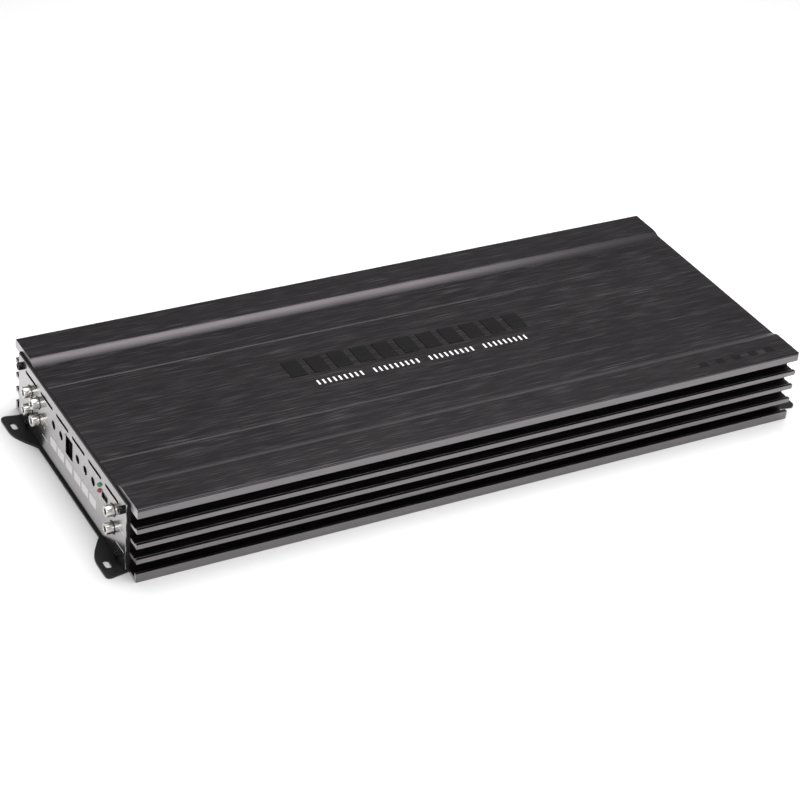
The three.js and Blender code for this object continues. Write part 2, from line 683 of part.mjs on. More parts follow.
function addCase() {
  place('heatsink', heatsink(), finishes.blackAnodised());
  place('base_plate', basePlate(), finishes.blackSheet());
  place('input_gasket', gasket(-1), finishes.rubber());
  place('power_gasket', gasket(1), finishes.rubber());
  place('input_panel', inputPanel(), finishes.silverSheet());
  place('power_panel', powerPanel(), finishes.silverSheet());
  baseScrewPlaces().forEach(([x, y], i) => {
    place(`base_screw_${i + 1}`, baseScrew(), finishes.blackSteel(), x, y);
  });
}

function addPanelScrews() {
  const seat = HALF_LENGTH + PANEL_OUTER + FIT;
  for (const [row, sy] of [['front', -1], ['rear', 1]]) {
    place(`input_cap_screw_${row}`, capScrew(), finishes.blackSteel(), -seat, sy * PORT.y, PORT.z);
    place(`power_cap_screw_${row}`, capScrew(), finishes.blackSteel(), seat, sy * PORT.y, PORT.z, Math.PI);
    place(`input_low_screw_${row}`, lowScrew(), finishes.blackSteel(), -seat, sy * TAB.y, TAB.holeZ);
  }
}

function addJacks() {
  place('jack_block_rear', jackBlock([JACK.innerY, JACK.outerY]), finishes.blackPlastic());
  place('jack_block_front', jackBlock([-JACK.outerY]), finishes.blackPlastic());
  jackPlaces().forEach(([y, z], i) => {
    place(`jack_shell_${i + 1}`, jackShell(), finishes.nickel(), -HALF_LENGTH, y, z);
  });
}

function addControls() {
  POT_Y.forEach((y, i) => {
    place(`pot_body_${i + 1}`, potBody(), finishes.blackPlastic(), 0, y, POT.z);
    place(`pot_shaft_${i + 1}`, potRotor(), finishes.blackPlastic(), 0, y, POT.z);
  });
  place('mode_switch_body', modeSwitchBody(), finishes.blackPlastic(), 0, MODE.y, MODE.z);
  place('mode_switch_slider', switchSlider(MODE, MODE_KNOB), finishes.blackPlastic(), 0, MODE.y, MODE.z);
  place('mini_switch_body', miniSwitchBody(), finishes.blackPlastic(), 0, MINI.y, MINI.z);
  place('mini_switch_slider', switchSlider(MINI, MINI_KNOB), finishes.greyPlastic(), 0, MINI.y, MINI.z);
  place('power_lamp', lamp(), finishes.greenLens(), 0, LAMP.y, LAMP.powerZ);
  place('protect_lamp', lamp(), finishes.redLens(), 0, LAMP.y, LAMP.protectZ);
}

function addInnerParts() {
  place('main_board', mainBoard(), finishes.circuitBoard());
  place('control_board', controlBoard(), finishes.circuitBoard());
  place('toroid_transformer', toroid(), finishes.copperWinding(), TOROID.x, 0, ON_BOARD);
  place('capacitor_bank', capacitorBank(), finishes.sleeve(), CAN.x, 0, ON_BOARD);
  place('front_output_devices', clampedDevices(-1), finishes.device());
  place('rear_output_devices', clampedDevices(1), finishes.device());
}

function addTerminals() {
  const rows = [
    ['power_terminal_block', 'power_clamp_screw', POWER_BLOCK, powerWays()],
    ['speaker_terminal_block', 'speaker_clamp_screw', SPEAKER_BLOCK, speakerWays()],
  ];
  for (const [blockName, screwName, size, ways] of rows) {
    place(blockName, terminalBlock(size, ways), finishes.blackPlastic());
    ways.forEach((way, i) => {
      const x = HALF_LENGTH + WAY.screwX;
      place(`${screwName}_${i + 1}`, clampScrew(way), finishes.blackSteel(), x, way.y, way.screwTop);
    });
  }
}

addCase();
addPanelScrews();
addJacks();
addControls();
addInnerParts();
addTerminals();

export default amplifier;
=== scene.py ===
"""Car amplifier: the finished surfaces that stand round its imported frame.

The file is laid out as an add-on. Each operator makes one piece or one group of like pieces.
Sizes are in metres. +X runs from the input end to the power end, +Y from front to rear, +Z up.
"""

import json
import math

import bmesh
import bpy
from bpy.props import FloatProperty, FloatVectorProperty, IntProperty, PointerProperty
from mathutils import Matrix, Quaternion, Vector

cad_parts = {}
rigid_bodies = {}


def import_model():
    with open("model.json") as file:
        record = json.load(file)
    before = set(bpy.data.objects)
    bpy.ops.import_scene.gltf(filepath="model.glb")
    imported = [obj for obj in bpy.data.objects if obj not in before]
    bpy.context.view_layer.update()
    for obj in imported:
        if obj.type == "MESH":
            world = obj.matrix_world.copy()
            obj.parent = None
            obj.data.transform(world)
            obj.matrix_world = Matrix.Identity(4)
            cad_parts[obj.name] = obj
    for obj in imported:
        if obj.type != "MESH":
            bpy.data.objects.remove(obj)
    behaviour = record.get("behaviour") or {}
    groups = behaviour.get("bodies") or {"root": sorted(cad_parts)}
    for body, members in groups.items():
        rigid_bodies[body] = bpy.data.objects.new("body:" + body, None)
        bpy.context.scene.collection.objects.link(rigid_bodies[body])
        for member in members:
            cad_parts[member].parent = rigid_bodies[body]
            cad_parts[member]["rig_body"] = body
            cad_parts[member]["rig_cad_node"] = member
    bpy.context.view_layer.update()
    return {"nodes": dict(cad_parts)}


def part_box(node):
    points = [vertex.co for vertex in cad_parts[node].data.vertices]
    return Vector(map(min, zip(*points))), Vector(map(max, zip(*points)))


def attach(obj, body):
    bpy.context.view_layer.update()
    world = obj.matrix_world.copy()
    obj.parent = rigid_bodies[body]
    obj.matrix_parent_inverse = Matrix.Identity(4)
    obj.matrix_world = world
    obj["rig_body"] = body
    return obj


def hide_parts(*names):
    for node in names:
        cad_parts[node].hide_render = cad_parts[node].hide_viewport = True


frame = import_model()

bl_info = {
    "name": "Car Amplifier",
    "version": (1, 0, 0),
    "blender": (4, 5, 0),
    "location": "View3D > Sidebar > Amplifier",
    "description": "Makes the finished pieces of a finned car amplifier round its frame",
    "category": "Object",
}

MM = 0.001
ALONG_X = Vector((1, 0, 0))
ALONG_Y = Vector((0, 1, 0))
ALONG_Z = Vector((0, 0, 1))
MERGE_DISTANCE = 1e-6
OVERSHOOT = 1 * MM       # how far a cutting tool runs past the face that it cuts
SMOOTH_ANGLE = math.radians(32)
FIN_TOP = 43.7 * MM      # height of the highest fin's upper face
RAIL_FOOT = 56.5 * MM    # just above the top face between the rails
PLATE_DROP = 3.6 * MM    # from the rails' tops down to the face between them
RAIL_BAR_DEPTH = 0.3 * MM
INK = 0.03 * MM          # how far printing stands on its face
POWER_WIRE_Z = 24 * MM   # height of the power cables' middles
SPEAKER_WIRE_Z = 22 * MM
CAMERA_PLACE = (-0.7633, -1.2340, 0.9627)
ROUND_SIDES = 48
SMALL_SIDES = 32

POTS = range(1, 6)
JACKS = range(1, 7)
POWER_WAYS = range(1, 4)
SPEAKER_WAYS = range(1, 9)
BASE_SCREWS = range(1, 5)
ROWS = ("front", "rear")
ENDS = (("input", -1), ("power", 1))


# ---------------------------------------------------------------- settings


def length(name, description, millimetres):
    """A size that a user can change."""
    return FloatProperty(
        name=name, description=description, default=millimetres * MM, unit="LENGTH", precision=5
    )


def colour(name, description, value):
    """A linear colour that a user can change."""
    return FloatVectorProperty(
        name=name, description=description, default=value, subtype="COLOR", min=0, max=1
    )


class CaseSettings(bpy.types.PropertyGroup):
    """Sizes of the case's finished edges and marks."""

    edge: length("Edge", "Rounding of the extrusion's edges", 0.22)
    sheet_edge: length("Sheet edge", "Rounding of the sheet metal's edges", 0.14)
    line_depth: length("Line depth", "Depth of the fine line along each rail's face", 0.35)
    line_width: length("Line width", "Width of the fine line along each rail's face", 0.45)
    line_drop: length("Line drop", "Distance of that line below the rail's top", 1.5)
    fin_count: IntProperty(name="Fins", description="Fins on each side", default=3)
    fin_pitch: length("Fin pitch", "Distance from one fin to the next", 12.4)
    # The fine line is a cut groove, and the finish also paints a highlight along it.
    die_line_inset: length("Die line inset", "Distance of a fin's fine line from its tip", 2.2)
    die_line_width: length("Die line width", "Width of a fin's fine line", 0.8)
    die_line_depth: length("Die line depth", "Depth of a fin's fine line", 0.3)
    ear_slot_radius: length("Ear slot radius", "Half the width of a mounting slot", 2.27)
    ear_slot_straight: length("Ear slot straight", "Straight half length of a mounting slot", 2.5)
    ear_slot_inset: length("Ear slot inset", "From the plate's end to a slot's middle", 5.9)
    ear_slot_y: length("Ear slot offset", "From the centre line to a slot's middle", 88.3)
    bar_count: IntProperty(name="Bars", description="Slanted bars in the top's relief", default=11)
    bar_pitch: length("Bar pitch", "Distance from one relief bar to the next", 18.6)
    bar_width: length("Bar width", "Width of a relief bar", 13)
    bar_length: length("Bar length", "Length of a relief bar across the top", 20)
    bar_slant: length("Bar slant", "How far a bar leans along the case", 5)
    bar_height: length("Bar height", "Height of the relief", 0.5)
    hatch_groups: IntProperty(name="Hatch groups", description="Groups of printed marks", default=4)
    hatch_count: IntProperty(name="Hatch marks", description="Marks in each group", default=9)
    hatch_pitch: length("Hatch pitch", "Distance from one printed mark to the next", 4.4)
    hatch_width: length("Hatch width", "Width of a printed mark", 1.5)
    hatch_length: length("Hatch length", "Length of a printed mark across the top", 5.6)


class FittingSettings(bpy.types.PropertyGroup):
    """Sizes of the holes and fittings in the two end panels."""

    vent_count: IntProperty(name="Vents", description="Vent slots in each end panel", default=6)
    vent_pitch: length("Vent pitch", "Distance from one vent to the next", 29.8)
    vent_length: length("Vent length", "Length of a vent slot", 23.3)
    vent_radius: length("Vent radius", "Half the height of a vent slot", 1.25)
    vent_z: length("Vent height", "Height of the vents above the base", 48.6)
    collar_hole: length("Collar hole", "Radius of the hole round a jack's collar", 5.15)
    collar: length("Collar", "Radius of a jack's collar", 5.05)
    collar_proud: length("Collar proud", "How far a collar stands out of its panel", 0.2)
    barrel: length("Barrel", "Radius of a jack's barrel", 4.2)
    bore: length("Bore", "Radius of a jack's bore", 2.2)
    pot_hole: length("Trimmer hole", "Radius of the hole over a trimmer", 3.35)
    pot_shaft: length("Trimmer shaft", "Radius of a trimmer's shaft", 2.8)
    lamp_hole: length("Lamp hole", "Radius of the hole round a lamp", 1.7)
    cap_hole: length("Cap screw hole", "Radius of the hole for a cap screw", 1.7)
    low_hole: length("Low screw hole", "Radius of the hole for a low screw", 1.4)
    cutout_gap: length("Cut-out gap", "Gap between a terminal block and its cut-out", 0.4)
    power_wire: length("Power entry", "Radius of a power cable's entry", 6)
    remote_wire: length("Remote entry", "Radius of the switching wire's entry", 3.1)
    speaker_wire: length("Speaker entry", "Radius of a speaker wire's entry", 3.1)
    wire_depth: length("Entry depth", "Depth of a wire's entry", 24)


class FinishSettings(bpy.types.PropertyGroup):
    """Colours of the finishes."""

    black: colour("Anodised black", "Darkest part of the brushed top", (0.0124, 0.0104, 0.0119))
    streak: colour("Streak", "Lightest brush lines of the top", (0.112, 0.1, 0.108))
    # Dark tint of the rails' slopes; made lighter, it gives the painted highlight on their crests.
    slope: colour("Slope", "Smooth slopes of the rails", (0.033, 0.029, 0.032))
    side: colour("Side grey", "Milled faces of the rails and fins", (0.2, 0.189, 0.196))
    bare: colour("Bare aluminium", "Sawn ends of the extrusion", (0.46, 0.45, 0.455))
    silver: colour("Panel silver", "Bright sheet of the end panels", (0.455, 0.438, 0.443))
    printing: colour("Printing", "White printing", (0.78, 0.77, 0.77))
    nickel: colour("Nickel", "Plated barrels", (0.62, 0.605, 0.585))
    plastic: colour("Black plastic", "Moulded housings", (0.009, 0.0088, 0.0092))
    green: colour("Green lamp", "Lens of the power lamp", (0.03, 0.2, 0.055))
    red: colour("Red lamp", "Lens of the protection lamp", (0.38, 0.022, 0.04))


def number(name, description, value):
    """A plain number that a user can change."""
    return FloatProperty(name=name, description=description, default=value)


class StageSettings(bpy.types.PropertyGroup):
    """The floor, the lights and the camera."""

    floor_size: length("Floor", "Width of the floor", 9000)
    softbox_power: number("Softbox", "Power of the overhead softbox", 30)
    fill_power: number("Fill", "Power of the front fill light", 13)
    horizon: number("Horizon", "Strength of the low light all round", 0.8)
    zenith: number("Zenith", "Strength of the light from above", 0.2)
    lens: number("Lens", "Focal length in millimetres", 104.06)
    azimuth: number("Azimuth", "Camera's heading, degrees", 31.436)
    elevation: number("Elevation", "How far down it looks", 33.264)
    roll: number("Roll", "Turn about the line of sight", 5.666)


SETTINGS = {
    "amp_case": CaseSettings,
    "amp_fittings": FittingSettings,
    "amp_finishes": FinishSettings,
    "amp_stage": StageSettings,
}


# ---------------------------------------------------------------- modelling helpers


def pick(obj):
    """Makes an object the only selected one, and the active one."""
    bpy.ops.object.select_all(action="DESELECT")
    obj.select_set(True)
    bpy.context.view_layer.objects.active = obj


def named(name):
    """Names the object that was just made, and settles its place into its mesh."""
    obj = bpy.context.view_layer.objects.active
    bpy.ops.object.transform_apply(location=True, rotation=True, scale=True)
    obj.name = name
    obj.data.name = name
    return obj


def box(low, high, name="box"):
    low, high = Vector(low), Vector(high)
    bpy.ops.object.select_all(action="DESELECT")
    bpy.ops.mesh.primitive_cube_add(size=1, location=(low + high) / 2, scale=high - low)
    return named(name)


def rod(radius, start, end, sides=ROUND_SIDES, name="rod"):
    """A round bar from one point to another."""
    start, end = Vector(start), Vector(end)
    reach = end - start
    bpy.ops.object.select_all(action="DESELECT")
    bpy.ops.mesh.primitive_cylinder_add(
        vertices=sides,
        radius=radius,
        depth=reach.length,
        location=(start + end) / 2,
        rotation=reach.to_track_quat("Z", "Y").to_euler(),
    )
    return named(name)


def joined(objects, name="joined"):
    """Makes several objects one."""
    pick(objects[0])
    for obj in objects[1:]:
        obj.select_set(True)
    if len(objects) > 1:
        bpy.ops.object.join()
    objects[0].name = name
    return objects[0]


def combine(obj, tools, operation="DIFFERENCE"):
    """Cuts the tools out of an object, or adds them to it."""
    tool = joined(tools, "tool")
    modifier = obj.modifiers.new("Combine", "BOOLEAN")
    modifier.operation = operation
    modifier.solver = "EXACT"
    modifier.use_self = len(tools) > 1
    modifier.object = tool
    pick(obj)
    bpy.ops.object.modifier_apply(modifier=modifier.name)
    bpy.data.objects.remove(tool)
    return obj


def tidy_faces(obj):
    """Merges what lies in one place and joins the triangles of each flat face."""
    pick(obj)
    bpy.ops.object.mode_set(mode="EDIT")
    bpy.ops.mesh.select_all(action="SELECT")
    bpy.ops.mesh.remove_doubles(threshold=MERGE_DISTANCE)
    bpy.ops.mesh.dissolve_limited(angle_limit=math.radians(0.5))
    bpy.ops.object.mode_set(mode="OBJECT")
    return obj


def soften(obj, edge, segments=2, angle=34):
    """Rounds an object's sharp edges and shades it smooth between them."""
    modifier = obj.modifiers.new("Edge", "BEVEL")
    modifier.width = edge
    modifier.segments = segments
    modifier.limit_method = "ANGLE"
    modifier.angle_limit = math.radians(angle)
    modifier.use_clamp_overlap = False
    pick(obj)
    bpy.ops.object.modifier_apply(modifier=modifier.name)
    return flat_faces(smooth(obj))


def smooth(obj):
    pick(obj)
    bpy.ops.object.shade_smooth_by_angle(angle=SMOOTH_ANGLE)
    return obj


def flat_faces(obj):
    """Keeps the shading of large faces flat right up to their rounded edges."""
    modifier = obj.modifiers.new("Flat faces", "WEIGHTED_NORMAL")
    modifier.keep_sharp = True
    pick(obj)
    bpy.ops.object.modifier_apply(modifier=modifier.name)
    return obj


def refined(node, name):
    """A merged copy of a frame node, to be worked on."""
    pick(frame["nodes"][node])
    bpy.ops.object.duplicate()
    bpy.ops.object.parent_clear(type="CLEAR_KEEP_TRANSFORM")
    obj = bpy.context.view_layer.objects.active
    obj.name = name
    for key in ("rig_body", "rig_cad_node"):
        del obj[key]
    bpy.ops.mesh.customdata_custom_splitnormals_clear()
    return tidy_faces(obj)


def twin(obj, name, offset):
    """A copy with a mesh of its own, moved by an offset."""
    pick(obj)
    bpy.ops.object.duplicate()
    bpy.context.view_layer.objects.active.location = offset
    return named(name)


def turned(profile, base, direction, name="turned", sides=ROUND_SIDES):
    """Spins a profile round an axis. Its points are (distance along the axis, radius)."""
    across = ALONG_Z if abs(direction.z) < 0.5 else ALONG_X
    points = [base + direction * along + across * radius for along, radius in profile]
    bpy.ops.object.select_all(action="DESELECT")
    bpy.ops.mesh.primitive_plane_add(size=MM, location=points[0])
    obj = named(name)
    bpy.ops.object.mode_set(mode="EDIT")
    bpy.ops.mesh.select_mode(type="VERT")
    bpy.ops.mesh.select_all(action="SELECT")
    bpy.ops.mesh.merge(type="CENTER")
    for before, after in zip(points, points[1:]):
        bpy.ops.mesh.extrude_vertices_move(TRANSFORM_OT_translate={"value": after - before})
    bpy.ops.mesh.select_all(action="SELECT")
    bpy.ops.mesh.spin(steps=sides, angle=2 * math.pi, center=base, axis=direction)
    bpy.ops.mesh.select_all(action="SELECT")
    bpy.ops.mesh.remove_doubles(threshold=MERGE_DISTANCE)
    bpy.ops.mesh.normals_make_consistent(inside=False)
    bpy.ops.object.mode_set(mode="OBJECT")
    return obj


def select_faces(obj, test):
    """In edit mode, selects the faces whose middle and normal pass a test."""
    mesh = bmesh.from_edit_mesh(obj.data)
    for face in mesh.faces:
        face.select_set(bool(test(face.calc_center_median(), face.normal)))
    bmesh.update_edit_mesh(obj.data)


def centre(node):
    low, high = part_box(node)
    return (low + high) / 2


def dress(obj, body, finish, *nodes):
    """Gives a piece its finish and its body, and hides the frame nodes that it stands for."""
    material, slot = FINISHES[finish]
    obj.data.materials.clear()
    obj.data.materials.append(bpy.data.materials.get(finish) or material(finish))
    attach(obj, body)
    if nodes:
        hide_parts(*nodes)


# ---------------------------------------------------------------- shared surface effects


def new_group(name, inputs, outputs):
    """A node group, with its ends, for an effect that several finishes share."""
    group = bpy.data.node_groups.new(name, "ShaderNodeTree")
    for socket, kind, default in inputs:
        made = group.interface.new_socket(socket, in_out="INPUT", socket_type=kind)
        if default is not None:
            made.default_value = default
    for socket in outputs:
        group.interface.new_socket(socket, in_out="OUTPUT", socket_type="NodeSocketFloat")
    source = group.nodes.new("NodeGroupInput")
    sink = group.nodes.new("NodeGroupOutput")
    return group, source.outputs, sink.inputs


def math_node(tree, operation, first, second=0.5):
    """A maths node whose inputs are sockets or numbers."""
    node = tree.nodes.new("ShaderNodeMath")
    node.operation = operation
    for socket, value in zip(node.inputs, (first, second)):
        if isinstance(value, (int, float)):
            socket.default_value = value
        else:
            tree.links.new(value, socket)
    return node.outputs[0]


def ramp_between(tree, value, low, high):
    """Turns a range of a value into 0 to 1, with soft ends."""
    node = tree.nodes.new("ShaderNodeMapRange")
    node.interpolation_type = "SMOOTHSTEP"
    node.inputs["From Min"].default_value = low
    node.inputs["From Max"].default_value = high
    tree.links.new(value, node.inputs["Value"])
    return node.outputs["Result"]


def noise(tree, vector, scale, detail=3.0, roughness=0.55):
    node = tree.nodes.new("ShaderNodeTexNoise")
    node.inputs["Scale"].default_value = scale
    node.inputs["Detail"].default_value = detail
    node.inputs["Roughness"].default_value = roughness
    tree.links.new(vector, node.inputs["Vector"])
    return node.outputs["Fac"]


def brushed_lines_group():
    """Fine scratches along X, in patches, as a number from 0 to 1."""
    floats = [("Along", "NodeSocketFloat", 36.0), ("Across", "NodeSocketFloat", 2000.0)]
    group, given, out = new_group(
        "Brushed lines", [("Vector", "NodeSocketVector", None), *floats], ["Lines"]
    )
    scale = group.nodes.new("ShaderNodeCombineXYZ")
    group.links.new(given["Along"], scale.inputs["X"])
    group.links.new(given["Across"], scale.inputs["Y"])
    group.links.new(given["Across"], scale.inputs["Z"])
    stretch = group.nodes.new("ShaderNodeVectorMath")
    stretch.operation = "MULTIPLY"
    group.links.new(given["Vector"], stretch.inputs[0])
    group.links.new(scale.outputs[0], stretch.inputs[1])
    scratches = ramp_between(group, noise(group, stretch.outputs[0], 1.0, 1.5), 0.5, 0.74)
    hairs = noise(group, stretch.outputs[0], 2.3, 2.0)
    patches = ramp_between(group, noise(group, stretch.outputs[0], 0.08, 2.0), 0.34, 0.66)
    strength = math_node(group, "MULTIPLY_ADD", patches, 0.6)
    strength.node.inputs[2].default_value = 0.4
    strong = math_node(group, "MULTIPLY", scratches, strength)
    faint = math_node(group, "MULTIPLY", hairs, 0.12)
    group.links.new(math_node(group, "ADD", strong, faint), out["Lines"])
    return group


def grain_group():
    """An even fine grain, as a number from 0 to 1."""
    group, given, out = new_group(
        "Fine grain",
        [("Vector", "NodeSocketVector", None), ("Scale", "NodeSocketFloat", 2500.0)],
        ["Grain"],
    )
    node = group.nodes.new("ShaderNodeTexNoise")
    node.inputs["Detail"].default_value = 3.0
    group.links.new(given["Vector"], node.inputs["Vector"])
    group.links.new(given["Scale"], node.inputs["Scale"])
    group.links.new(node.outputs["Fac"], out["Grain"])
    return group


def facing_group():
    """How squarely a surface faces an axis, either way, from 0 to 1."""
    vectors = [("Normal", "NodeSocketVector", None), ("Axis", "NodeSocketVector", None)]
    limits = [("From", "NodeSocketFloat", 0.9), ("To", "NodeSocketFloat", 0.985)]
    group, given, out = new_group("Facing", vectors + limits, ["Share"])
    dot = group.nodes.new("ShaderNodeVectorMath")
    dot.operation = "DOT_PRODUCT"
    group.links.new(given["Normal"], dot.inputs[0])
    group.links.new(given["Axis"], dot.inputs[1])
    share = ramp_between(group, math_node(group, "ABSOLUTE", dot.outputs["Value"]), 0.9, 0.985)
    group.links.new(given["From"], share.node.inputs["From Min"])
    group.links.new(given["To"], share.node.inputs["From Max"])
    group.links.new(share, out["Share"])
    return group


def handling_group():
    """Faint broad patches left by handling, as a number from 0 to 1."""
    group, given, out = new_group(
        "Handling marks", [("Vector", "NodeSocketVector", None)], ["Marks"]
    )
    patches = ramp_between(group, noise(group, given["Vector"], 22.0), 0.4, 0.7)
    group.links.new(patches, out["Marks"])
    return group


GROUPS = {
    "Brushed lines": brushed_lines_group,
    "Fine grain": grain_group,
    "Facing": facing_group,
    "Handling marks": handling_group,
}


def effect(tree, name, output, **values):
    """Places a shared effect. Values are sockets, numbers or vectors."""
    node = tree.nodes.new("ShaderNodeGroup")
    node.node_tree = bpy.data.node_groups.get(name) or GROUPS[name]()
    for key, value in values.items():
        socket = node.inputs[key]
        if isinstance(value, bpy.types.NodeSocket):
            tree.links.new(value, socket)
        else:
            socket.default_value = value
    return node.outputs[output]


# ---------------------------------------------------------------- finishes


class Finish:
    """A material being made: its tree, its shader and its coordinates."""

    def __init__(self, name, metallic=0.0, roughness=0.5, coat=0.0):
        self.material = bpy.data.materials.new(name)
        self.material.use_nodes = True
        self.tree = self.material.node_tree
        self.shader = self.tree.nodes["Principled BSDF"]
        self.shader.inputs["Metallic"].default_value = metallic
        self.shader.inputs["Roughness"].default_value = roughness
        self.shader.inputs["Coat Weight"].default_value = coat
        coordinates = self.tree.nodes.new("ShaderNodeTexCoord")
        self.place = coordinates.outputs["Object"]
        self.normal = coordinates.outputs["Normal"]

    def mix(self, share, first, second):
        """One colour or number turning into another. Each is a socket or a value."""
        node = self.tree.nodes.new("ShaderNodeMix")
        numbers = isinstance(first, (int, float)) or isinstance(second, (int, float))
        node.data_type = "FLOAT" if numbers else "RGBA"
        kind = "VALUE" if numbers else "RGBA"
        slots = [s for s in node.inputs if s.type == kind and s.name in ("A", "B")]
        factor = next(s for s in node.inputs if s.name == "Factor" and s.enabled)
        self.tree.links.new(share, factor)
        for socket, value in zip(slots, (first, second)):
            if isinstance(value, bpy.types.NodeSocket):
                self.tree.links.new(value, socket)
            else:
                socket.default_value = value if numbers else (*value, 1)
        return next(s for s in node.outputs if s.enabled)

    def shades(self, share, tint, low, high):
        """One tint, from a darker to a lighter shade of it."""
        return self.mix(share, [low * v for v in tint], [min(1, high * v) for v in tint])

    def grain(self, scale):
        return self.effect("Fine grain", "Grain", Vector=self.place, Scale=scale)

    def marks(self):
        return self.effect("Handling marks", "Marks", Vector=self.place)

    def lines(self):
        return self.effect("Brushed lines", "Lines", Vector=self.place)

    def feed(self, socket, value):
        self.tree.links.new(value, self.shader.inputs[socket])

    def bump(self, height, strength, distance):
        node = self.tree.nodes.new("ShaderNodeBump")
        node.inputs["Strength"].default_value = strength
        node.inputs["Distance"].default_value = distance
        self.tree.links.new(height, node.inputs["Height"])
        self.feed("Normal", node.outputs["Normal"])

    def effect(self, name, output, **values):
        return effect(self.tree, name, output, **values)

    def axis(self, letter):
        node = self.tree.nodes.new("ShaderNodeSeparateXYZ")
        self.tree.links.new(self.place, node.inputs[0])
        return node.outputs[letter]


def palette():
    return bpy.context.scene.amp_finishes


def anodised_extrusion(name):
    """Brushed black on top, milled grey on the outer side faces, bare metal on the ends.

    The rails' slopes carry a painted highlight, lightest at their crests and dimming along the
    case.
    """
    colours = palette()
    made = Finish(name)
    saw = made.grain(1800.0)
    marks = made.marks()
    ends = made.effect("Facing", "Share", Normal=made.normal, Axis=ALONG_X)
    sides = made.effect("Facing", "Share", Normal=made.normal, Axis=ALONG_Y)
    level = made.effect("Facing", "Share", Normal=made.normal, Axis=ALONG_Z, From=0.96, To=0.99)
    scratches = made.lines()
    lines = math_node(made.tree, "MULTIPLY", scratches, made.mix(level, 0.25, 1.0))
    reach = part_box("heatsink")[1].y - 0.4 * MM
    distance = math_node(made.tree, "ABSOLUTE", made.axis("Y"))
    outermost = math_node(made.tree, "GREATER_THAN", distance, reach)
    milled = math_node(made.tree, "MULTIPLY", sides, outermost)
    plate = made.mix(lines, colours.black, colours.streak)
    above = math_node(made.tree, "GREATER_THAN", made.axis("Z"), RAIL_FOOT)
    sloping = math_node(made.tree, "MULTIPLY", above, made.mix(level, 1.0, 0.0))
    # Painted highlight on the rails' slopes: lightest at their crests, at full strength over the
    # input half and dimmer towards the power end.
    crest_painted_highlight = made.shades(scratches, colours.slope, 1.7, 2.2)
    crest_height, fade_start, fade_end = 2.6 * MM, 20 * MM, 270 * MM
    rise = ramp_between(made.tree, made.axis("Z"), RAIL_FOOT, RAIL_FOOT + crest_height)
    fade = ramp_between(made.tree, made.axis("X"), fade_start, fade_end)
    light = math_node(made.tree, "MULTIPLY", rise, made.mix(fade, 1.0, 0.35))
    slope = made.mix(light, colours.black, crest_painted_highlight)
    top = made.mix(sloping, plate, slope)
    side = made.shades(scratches, colours.side, 0.92, 1.15)
    end = made.shades(saw, colours.bare, 0.82, 1.12)
    # Painted highlight: the fine line near each fin's tip gets the milled grey colour and full
    # metal, like the milled faces.
    painted_fin_line_highlight = math_node(made.tree, "MULTIPLY", fin_line_mask(made), below_rail(made))
    bright = math_node(made.tree, "MAXIMUM", milled, painted_fin_line_highlight)
    made.feed("Base Color", made.mix(ends, made.mix(bright, top, side), end))
    made.feed("Metallic", made.mix(math_node(made.tree, "MAXIMUM", ends, bright), 0.7, 1.0))
    satin = made.mix(milled, made.mix(marks, 0.34, 0.38), 0.34)
    made.feed("Roughness", made.mix(ends, satin, 0.3))
    made.bump(lines, 0.3, 0.02 * MM)
    return made.material


def fin_line_mask(made):
    """1 in the fine line near each fin's tip, where a highlight is painted, 0 elsewhere."""
    case = bpy.context.scene.amp_case
    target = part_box("heatsink")[1].y - case.die_line_inset
    distance = math_node(made.tree, "ABSOLUTE", made.axis("Y"))
    near = math_node(made.tree, "COMPARE", distance, target)
    near.node.inputs[2].default_value = case.die_line_width / 2
    return near


def below_rail(made):
    """1 on the fins, 0 on the rails above them."""
    return math_node(made.tree, "LESS_THAN", made.axis("Z"), FIN_TOP + OVERSHOOT)


def coated_sheet(name):
    """Black satin coating with a fine orange peel."""
    made = Finish(name)
    made.shader.inputs["Specular IOR Level"].default_value = 0.38
    grain = made.grain(1400.0)
    marks = made.marks()
    made.feed("Base Color", made.mix(marks, (0.0042, 0.0036, 0.004), (0.007, 0.0062, 0.0067)))
    made.feed("Roughness", made.mix(grain, 0.36, 0.48))
    made.bump(grain, 0.25, 0.03 * MM)
    return made.material


def gasket_rubber(name):
    made = Finish(name, roughness=0.85)
    made.shader.inputs["Specular IOR Level"].default_value = 0.2
    grain = made.grain(1800.0)
    made.feed("Base Color", made.mix(grain, (0.006, 0.006, 0.006), (0.013, 0.0125, 0.0125)))
    made.bump(grain, 0.4, 0.05 * MM)
    return made.material


def bright_sheet(name):
    """Bright silver sheet with a very fine grain, and painted shade that makes it a little darker
    towards its top edge.
    """
    colours = palette()
    made = Finish(name, metallic=1.0)
    grain = made.grain(3500.0)
    marks = made.marks()
    # Painted shade: the silver is a little darker from 44 mm up to 54 mm, towards the top edge.
    height = ramp_between(made.tree, made.axis("Z"), 44 * MM, 54 * MM)
    lower = made.shades(grain, colours.silver, 0.94, 1.05)
    silver_with_painted_shade = made.shades(grain, colours.silver, 0.8, 0.9)
    made.feed("Base Color", made.mix(height, lower, silver_with_painted_shade))
    made.feed("Roughness", made.mix(marks, 0.17, 0.22))
    made.bump(grain, 0.08, 0.01 * MM)
    return made.material


def metal(name, tint, roughness, scale=2200.0, depth=0.01):
    """A plain metal with a fine grain in its tint and its polish."""
    made = Finish(name, metallic=1.0)
    grain = made.grain(scale)
    marks = made.marks()
    made.feed("Base Color", made.shades(grain, tint, 0.88, 1.1))
    made.feed("Roughness", made.mix(marks, roughness, roughness + 0.06))
    made.bump(grain, 0.2, depth * MM)
    return made.material


def bright_nickel(name):
    return metal(name, palette().nickel, 0.26)


def black_oxide(name):
    return metal(name, (0.022, 0.021, 0.022), 0.34, depth=0.02)


